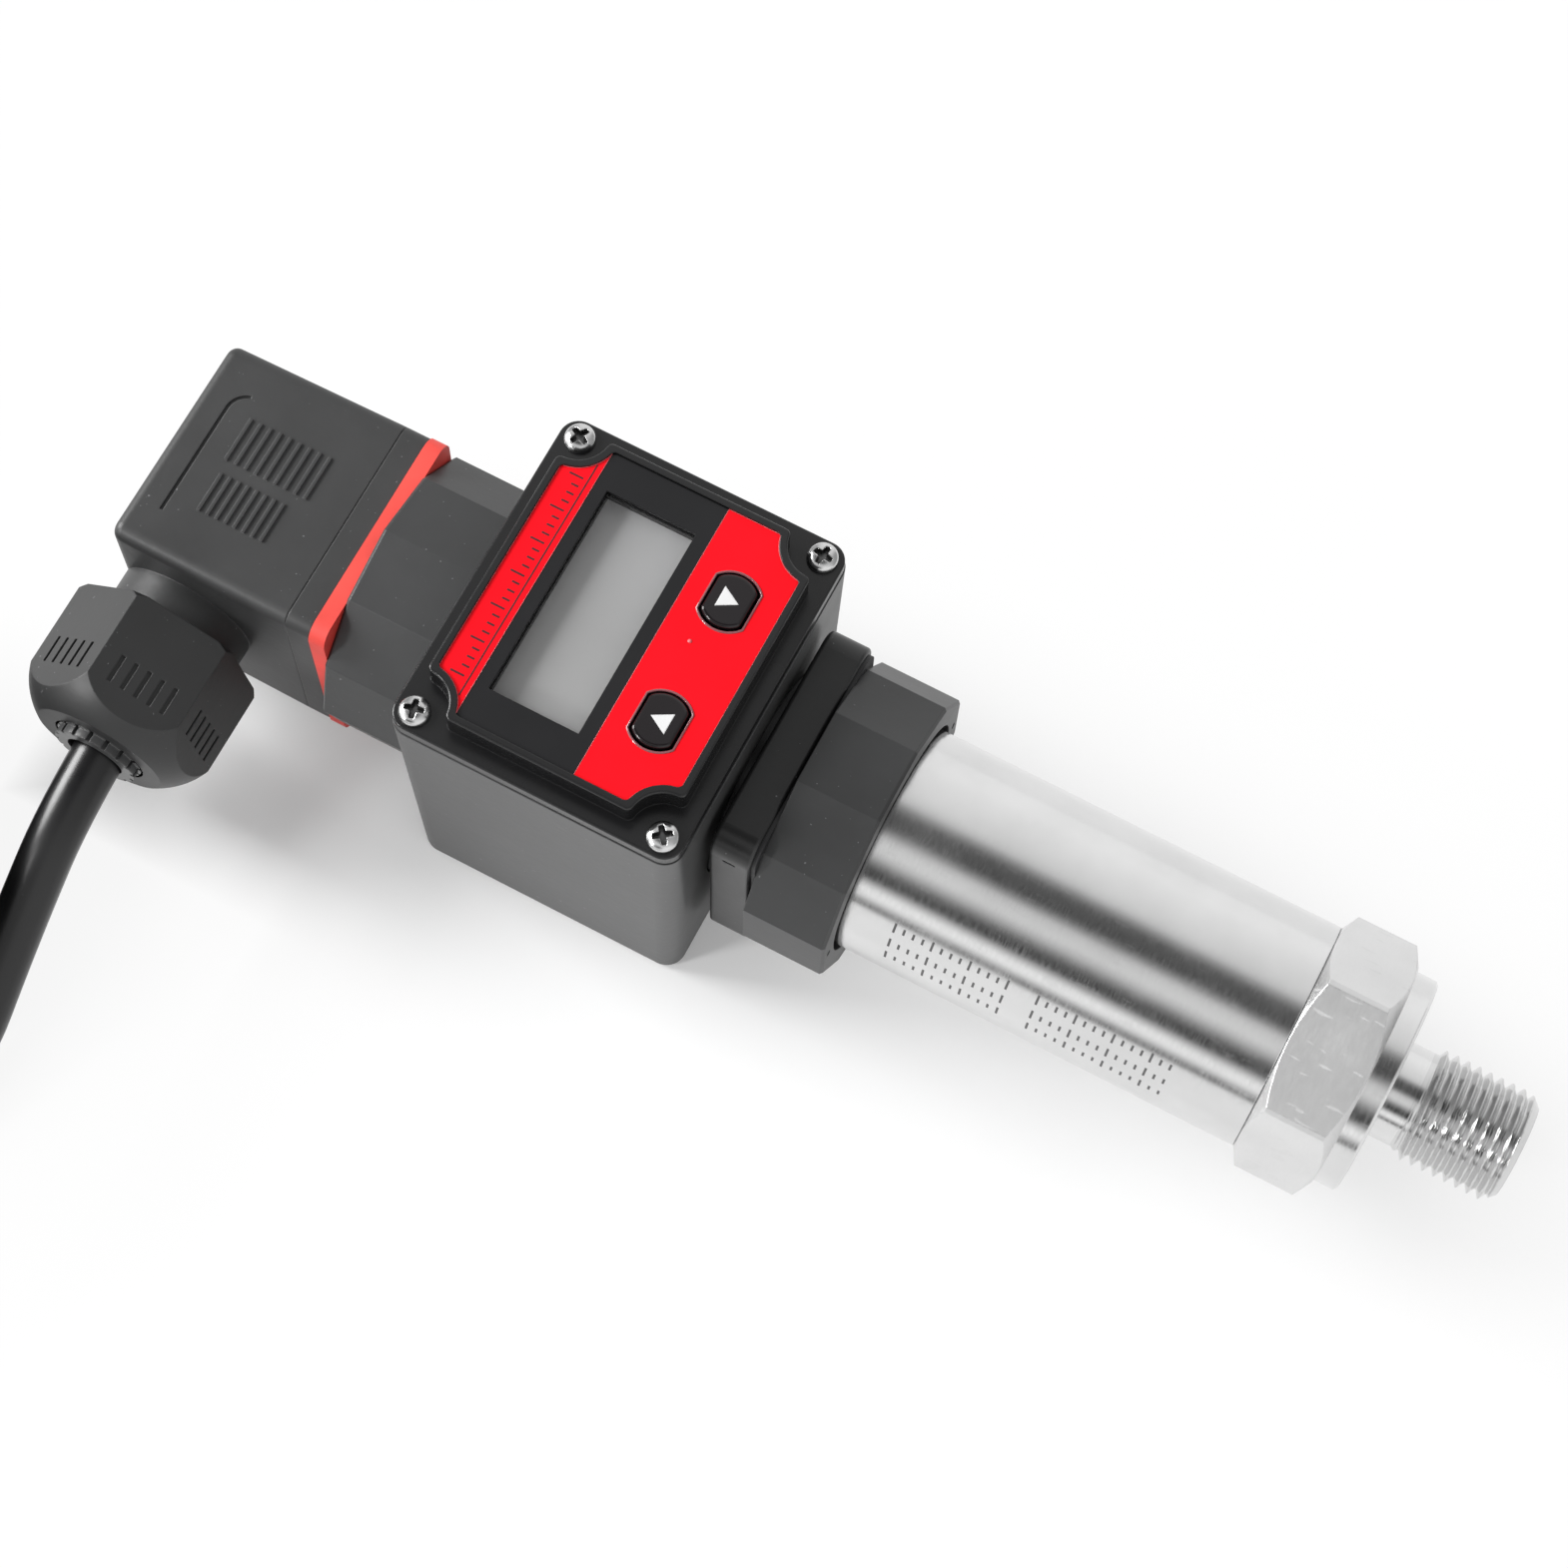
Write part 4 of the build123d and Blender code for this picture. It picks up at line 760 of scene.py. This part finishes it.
def add_lid_screws():
    """Four domed heads with a driver's cross, each turned its own way, and their shanks."""
    bm = bmesh.new()
    for turn, (side_x, side_y) in zip(SCREW_TURNS, ((-1, -1), (-1, 1), (1, -1), (1, 1))):
        centre = (LID_CENTRE_X + side_x * SCREW_PITCH_X / 2, side_y * SCREW_PITCH_Y / 2)
        closed_lathe(bm, screw_rows(centre, turn))
    bmesh.ops.recalc_face_normals(bm, faces=bm.faces[:])
    piece = new_object("cross_head_screws", bm, MATERIALS["screw"], "head", 35.0)
    paint_recess_shade(piece)
    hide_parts("lid_screws")


def add_etched_tick(bm, x, middle, half_height):
    """One thin closed tick that follows the tube's curve, at a place along X and in degrees round it."""
    corners = []
    for radius in (TUBE_R - ETCH_SUNK, TUBE_R + ETCH_RAISED):
        for along in (x - ETCH_HALF_WIDTH, x + ETCH_HALF_WIDTH):
            for step in range(4):
                turn = math.radians(middle) + (step / 1.5 - 1) * half_height / TUBE_R
                point = (along * MM, -radius * math.sin(turn) * MM, radius * math.cos(turn) * MM)
                corners.append(bm.verts.new(point))
    for step in range(3):
        for low, high in ((0, 4), (12, 8), (8, 0), (4, 12)):
            near, far = low + step, high + step
            bm.faces.new((corners[near], corners[far], corners[far + 1], corners[near + 1]))
    bm.faces.new([corners[index] for index in (0, 8, 12, 4)])
    bm.faces.new([corners[index] for index in (3, 7, 15, 11)])


def add_tube_ticks():
    """Three rows of plain etched ticks in two groups, where the tube carries its data."""
    bm = bmesh.new()
    for middle in ETCH_ROWS:
        for start, count in ETCH_GROUPS:
            for index in range(count):
                tall = ETCH_HALF_HEIGHT if index % 4 == 0 else ETCH_HALF_HEIGHT * ETCH_SHORT_SHARE
                add_etched_tick(bm, start + ETCH_PITCH * index, middle, tall)
    bmesh.ops.recalc_face_normals(bm, faces=bm.faces[:])
    piece = new_object("tube_ticks", bm, MATERIALS["etch"], "transmitter", 30.0)


def arc(centre, radius, start, end, count=14):
    """Points on an arc, in degrees."""
    return [
        (
            centre[0] + radius * math.cos(math.radians(start + (end - start) * index / count)),
            centre[1] + radius * math.sin(math.radians(start + (end - start) * index / count)),
        )
        for index in range(count + 1)
    ]


def notch(side_x, side_y, edge_x, edge_y):
    """The label's concave corner round one screw, from its Y edge to its X edge or back."""
    centre = (LID_CENTRE_X + side_x * SCREW_PITCH_X / 2, side_y * SCREW_PITCH_Y / 2)
    reach_y = math.sqrt(LABEL_NOTCH_R**2 - (edge_x - centre[0]) ** 2)
    reach_x = math.sqrt(LABEL_NOTCH_R**2 - (edge_y - centre[1]) ** 2)
    on_side = (edge_x, centre[1] - side_y * reach_y)
    on_end = (centre[0] - side_x * reach_x, edge_y)
    start = math.degrees(math.atan2(on_side[1] - centre[1], on_side[0] - centre[0]))
    end = math.degrees(math.atan2(on_end[1] - centre[1], on_end[0] - centre[0]))
    if end - start > 180:
        end -= 360
    if start - end > 180:
        end += 360
    return arc(centre, LABEL_NOTCH_R, start, end)


def band_outline(side):
    """A red band's outline: the label's corners on one side, a straight line on the other."""
    edge_x = LID_CENTRE_X + side * LABEL_LENGTH / 2
    edge_y = LABEL_WIDTH / 2
    inner_x = RIGHT_BAND_EDGE_X if side > 0 else LEFT_BAND_EDGE_X
    low = notch(side, -1, edge_x, -edge_y)
    high = notch(side, 1, edge_x, edge_y)
    return [(inner_x, -edge_y)] + low[::-1] + high + [(inner_x, edge_y)]


def key_outline(centre_y, grow):
    """A key's outline, a round with two flats, grown by a clearance."""
    radius = KEY_ROUND_D / 2 + grow
    half = KEY_FLAT_WIDTH / 2 + grow
    turn = math.degrees(math.acos(half / radius))
    centre = (KEY_X, centre_y)
    return arc(centre, radius, turn, 180 - turn, 20) + arc(centre, radius, 180 + turn, 360 - turn, 20)


def rectangle(x_low, x_high, y_low, y_high):
    return [(x_low, y_low), (x_high, y_low), (x_high, y_high), (x_low, y_high)]


def plate(name, outline, holes, low, high, material, body):
    """A flat plate between two heights from an outline with holes."""
    bm = bmesh.new()
    edges = []
    for loop in [outline] + holes:
        verts = [bm.verts.new((x * MM, y * MM, low * MM)) for x, y in loop]
        edges += [bm.edges.new((a, b)) for a, b in zip(verts, verts[1:] + verts[:1])]
    bmesh.ops.triangle_fill(bm, use_beauty=True, edges=edges)
    raised = bmesh.ops.extrude_face_region(bm, geom=bm.faces[:])
    moved = [item for item in raised["geom"] if isinstance(item, bmesh.types.BMVert)]
    bmesh.ops.translate(bm, vec=(0, 0, (high - low) * MM), verts=moved)
    bmesh.ops.recalc_face_normals(bm, faces=bm.faces[:])
    return new_object(name, bm, MATERIALS[material], body, 30.0)


def bead(name, outline, radius, height, material, body):
    """A thin half-round bead along a closed outline, lying at a height."""
    bm = bmesh.new()
    rings = []
    count = len(outline)
    steps = 6
    for index in range(count):
        before = Vector(outline[index - 1])
        here = Vector(outline[index])
        after = Vector(outline[(index + 1) % count])
        along = ((here - before).normalized() + (after - here).normalized()).normalized()
        out = Vector((along.y, -along.x))
        ring = []
        for step in range(steps + 1):
            angle = math.pi * step / steps
            place = here + out * radius * math.cos(angle)
            lift = (height + radius * math.sin(angle)) * MM
            ring.append(bm.verts.new((place.x * MM, place.y * MM, lift)))
        rings.append(ring)
    for near, far in zip(rings, rings[1:] + rings[:1]):
        for step in range(steps + 1):
            following = (step + 1) % (steps + 1)
            bm.faces.new((near[step], near[following], far[following], far[step]))
    bmesh.ops.recalc_face_normals(bm, faces=bm.faces[:])
    return new_object(name, bm, MATERIALS[material], body, 40.0)


def add_bands():
    """The two red bands, the right one with a hole round each key, and their pale edges."""
    holes = [key_outline(side * KEY_PITCH / 2, KEY_HOLE_GAP) for side in (-1, 1)]
    left = plate("label_band_left", band_outline(-1), [], PRINT_LOW, PRINT_HIGH, "label_red", "head")
    right = plate("label_band_right", band_outline(1), holes, PRINT_LOW, PRINT_HIGH, "label_red", "head")
    left_edge = bead("label_edge_left", band_outline(-1), EDGE_R, BEAD_HEIGHT, "edge_line", "head")
    right_edge = bead("label_edge_right", band_outline(1), EDGE_R, BEAD_HEIGHT, "edge_line", "head")


def add_scale():
    """A thin line on the left band with a plain row of ticks beside it."""
    line = rectangle(LINE_X - LINE_HALF_WIDTH, LINE_X + LINE_HALF_WIDTH, -LINE_HALF_LENGTH, LINE_HALF_LENGTH)
    plate("label_line", line, [], PRINT_HIGH, INK_HIGH, "ink", "head")
    for index in range(SCALE_TICKS):
        middle = -SCALE_HALF_LENGTH + 2 * SCALE_HALF_LENGTH * index / (SCALE_TICKS - 1)
        length = SCALE_LONG if index % 4 == 0 else SCALE_SHORT
        tick = rectangle(SCALE_X - length, SCALE_X, middle - SCALE_HALF_WIDTH, middle + SCALE_HALF_WIDTH)
        piece = plate(f"label_tick_{index:02d}", tick, [], PRINT_HIGH, INK_HIGH, "ink", "head")


def add_dot():
    """A small pale dot between the keys."""
    bm = bmesh.new()
    rows = [
        ring_round_z((DOT_X, DOT_Y), radius, DOT_AROUND, lambda angle: PRINT_HIGH + height)
        for radius, height in DOT_PROFILE
    ]
    closed_lathe(bm, rows)
    bmesh.ops.recalc_face_normals(bm, faces=bm.faces[:])
    new_object("label_dot", bm, MATERIALS["edge_line"], "head")


def add_key_prints():
    """A rim round each key, and a triangle on it that points outwards."""
    for side, key in ((-1, "key_up"), (1, "key_down")):
        centre_y = side * KEY_PITCH / 2
        outline = key_outline(centre_y, KEY_RIM_GAP)
        rim = bead(f"{key}_rim", outline, KEY_RIM_R, BEAD_HEIGHT, "key_rim", "head")
        tip = side * MARK_HALF_LENGTH
        mark = [
            (KEY_X + tip, centre_y),
            (KEY_X - tip, centre_y - MARK_HALF_WIDTH),
            (KEY_X - tip, centre_y + MARK_HALF_WIDTH),
        ]
        sign = plate(f"{key}_mark", mark, [], KEY_TOP - MARK_SUNK, KEY_TOP + MARK_RAISED, "white", key)


def floor_material():
    """Pale paper that shows itself white, and keeps the object's shadow close to it."""
    shader = Shader("floor_paper", Roughness=0.9)
    tone = shader.noise(3.0, detail=2.0)
    shader.drive("Base Color", shader.ramp(tone, [(0.3, (0.92, 0.92, 0.92)), (0.7, (0.94, 0.94, 0.94))]))
    path = shader.node("ShaderNodeLightPath").outputs
    seen = shader.math("ADD", path["Is Camera Ray"], path["Is Glossy Ray"])
    seen = shader.math("ADD", seen, path["Is Transmission Ray"])
    # The share of its own white light: less where the object covers the floor
    open_sky = shader.node("ShaderNodeAmbientOcclusion", samples=16)
    open_sky.inputs["Distance"].default_value = 0.032
    share = shader.levels(open_sky.outputs["AO"], 0.54, 1.0, 0.0, 0.86)
    # More of it behind the object, round the cable and coil, and far off, where no shadow is wanted
    parts = shader.place_parts(shader.place)
    far_side = shader.levels(parts["Y"], -0.03, 0.03, 0.0, 0.6)
    near_side = shader.levels(parts["Y"], -0.038, -0.028, 0.88, 0.0)
    rear = shader.levels(parts["X"], -0.128, -0.110, 1.0, 0.0)
    under_coil = shader.levels(parts["X"], -0.164, -0.150, 0.9, 0.0)
    by_coil = shader.math("MAXIMUM", shader.math("MULTIPLY", near_side, rear), under_coil)
    distance = shader.node("ShaderNodeVectorMath", operation="LENGTH")
    shader.link(shader.place, distance.inputs[0])
    far_off = shader.levels(distance.outputs["Value"], 0.25, 0.70, 0.0, 1.0)
    lift = shader.math("MAXIMUM", shader.math("MAXIMUM", far_side, by_coil), far_off)
    share = shader.math("ADD", share, shader.math("MULTIPLY", shader.math("SUBTRACT", 1.0, share), lift))
    # Only the camera, mirrors and glass see that light, so it lights nothing
    own_light = shader.math("MULTIPLY", shader.math("MINIMUM", seen, 1.0), share)
    white = shader.node("ShaderNodeEmission")
    look = shader.blend(own_light, shader.surface.outputs[0], white.outputs[0])
    shader.link(look, shader.tree.nodes["Material Output"].inputs["Surface"])
    return shader.material


def add_floor():
    """A pale floor, which ends near the camera's side, so that the tube mirrors a dark line there."""
    bm = bmesh.new()
    near, reach = -FLOOR_NEAR, FLOOR_REACH
    for x, y in ((-reach, near), (reach, near), (reach, reach), (-reach, reach)):
        bm.verts.new((x, y, (FLOOR - FLOOR_GAP) * MM))
    bm.faces.new(bm.verts[:])
    mesh = bpy.data.meshes.new("floor")
    bm.to_mesh(mesh)
    bm.free()
    floor = bpy.data.objects.new("floor", mesh)
    bpy.context.collection.objects.link(floor)
    mesh.materials.append(floor_material())


def add_light(name, place, size, power):
    """A soft square light that looks at the middle."""
    data = bpy.data.lights.new(name, "AREA")
    data.energy = power
    data.shape = "SQUARE"
    data.size = size
    light = bpy.data.objects.new(name, data)
    light.location = place
    light.rotation_euler = (Vector(LIGHTS_AIM) - Vector(place)).to_track_quat("-Z", "Y").to_euler()
    bpy.context.collection.objects.link(light)


def panels(studio, share, table):
    """A ramp of greys over the angle from straight up."""
    return studio.ramp(share, [((degrees + 90) / 180, grey(level)) for degrees, level in table])


def add_studio():
    """The world: pale panels and dark gaps that light the object, and white behind it for the camera."""
    world = bpy.data.worlds.new("studio")
    world.use_nodes = True
    bpy.context.scene.world = world
    studio = Nodes(world.node_tree)
    studio.tree.nodes.clear()
    parts = studio.place_parts(studio.node("ShaderNodeTexCoord").outputs["Generated"])
    angle = studio.math("ARCTAN2", studio.math("MULTIPLY", parts["Y"], -1.0), parts["Z"])
    share = studio.levels(angle, -math.pi / 2, math.pi / 2, 0.0, 1.0)
    off_middle = studio.math("ABSOLUTE", studio.math("SUBTRACT", parts["X"], STUDIO_MIDDLE_X))
    towards_ends = studio.levels(off_middle, STUDIO_END_FROM, STUDIO_END_TO, 0.0, 1.0)
    across = panels(studio, share, STUDIO_ACROSS)
    level = studio.mix(towards_ends, across, panels(studio, share, STUDIO_ENDS))
    lit = studio.node("ShaderNodeBackground")
    lit.inputs["Strength"].default_value = STUDIO_STRENGTH
    studio.link(level, lit.inputs["Color"])
    white = studio.node("ShaderNodeBackground")
    white.inputs["Color"].default_value = (1.0, 1.0, 1.0, 1.0)
    camera_ray = studio.node("ShaderNodeLightPath").outputs["Is Camera Ray"]
    output = studio.node("ShaderNodeOutputWorld")
    studio.link(studio.blend(camera_ray, lit.outputs[0], white.outputs[0]), output.inputs["Surface"])


bpy.context.scene.view_settings.view_transform = "Standard"
add_camera()
add_cable()
for node_name, paint_name in NODE_PAINT.items():
    paint(node_name, MATERIALS[paint_name])
add_process_connection()
add_lid_screws()
add_tube_ticks()
add_bands()
add_scale()
add_dot()
add_key_prints()
add_floor()
for light_name, light_place, light_size, light_power in LIGHTS:
    add_light(light_name, light_place, light_size, light_power)
add_studio()
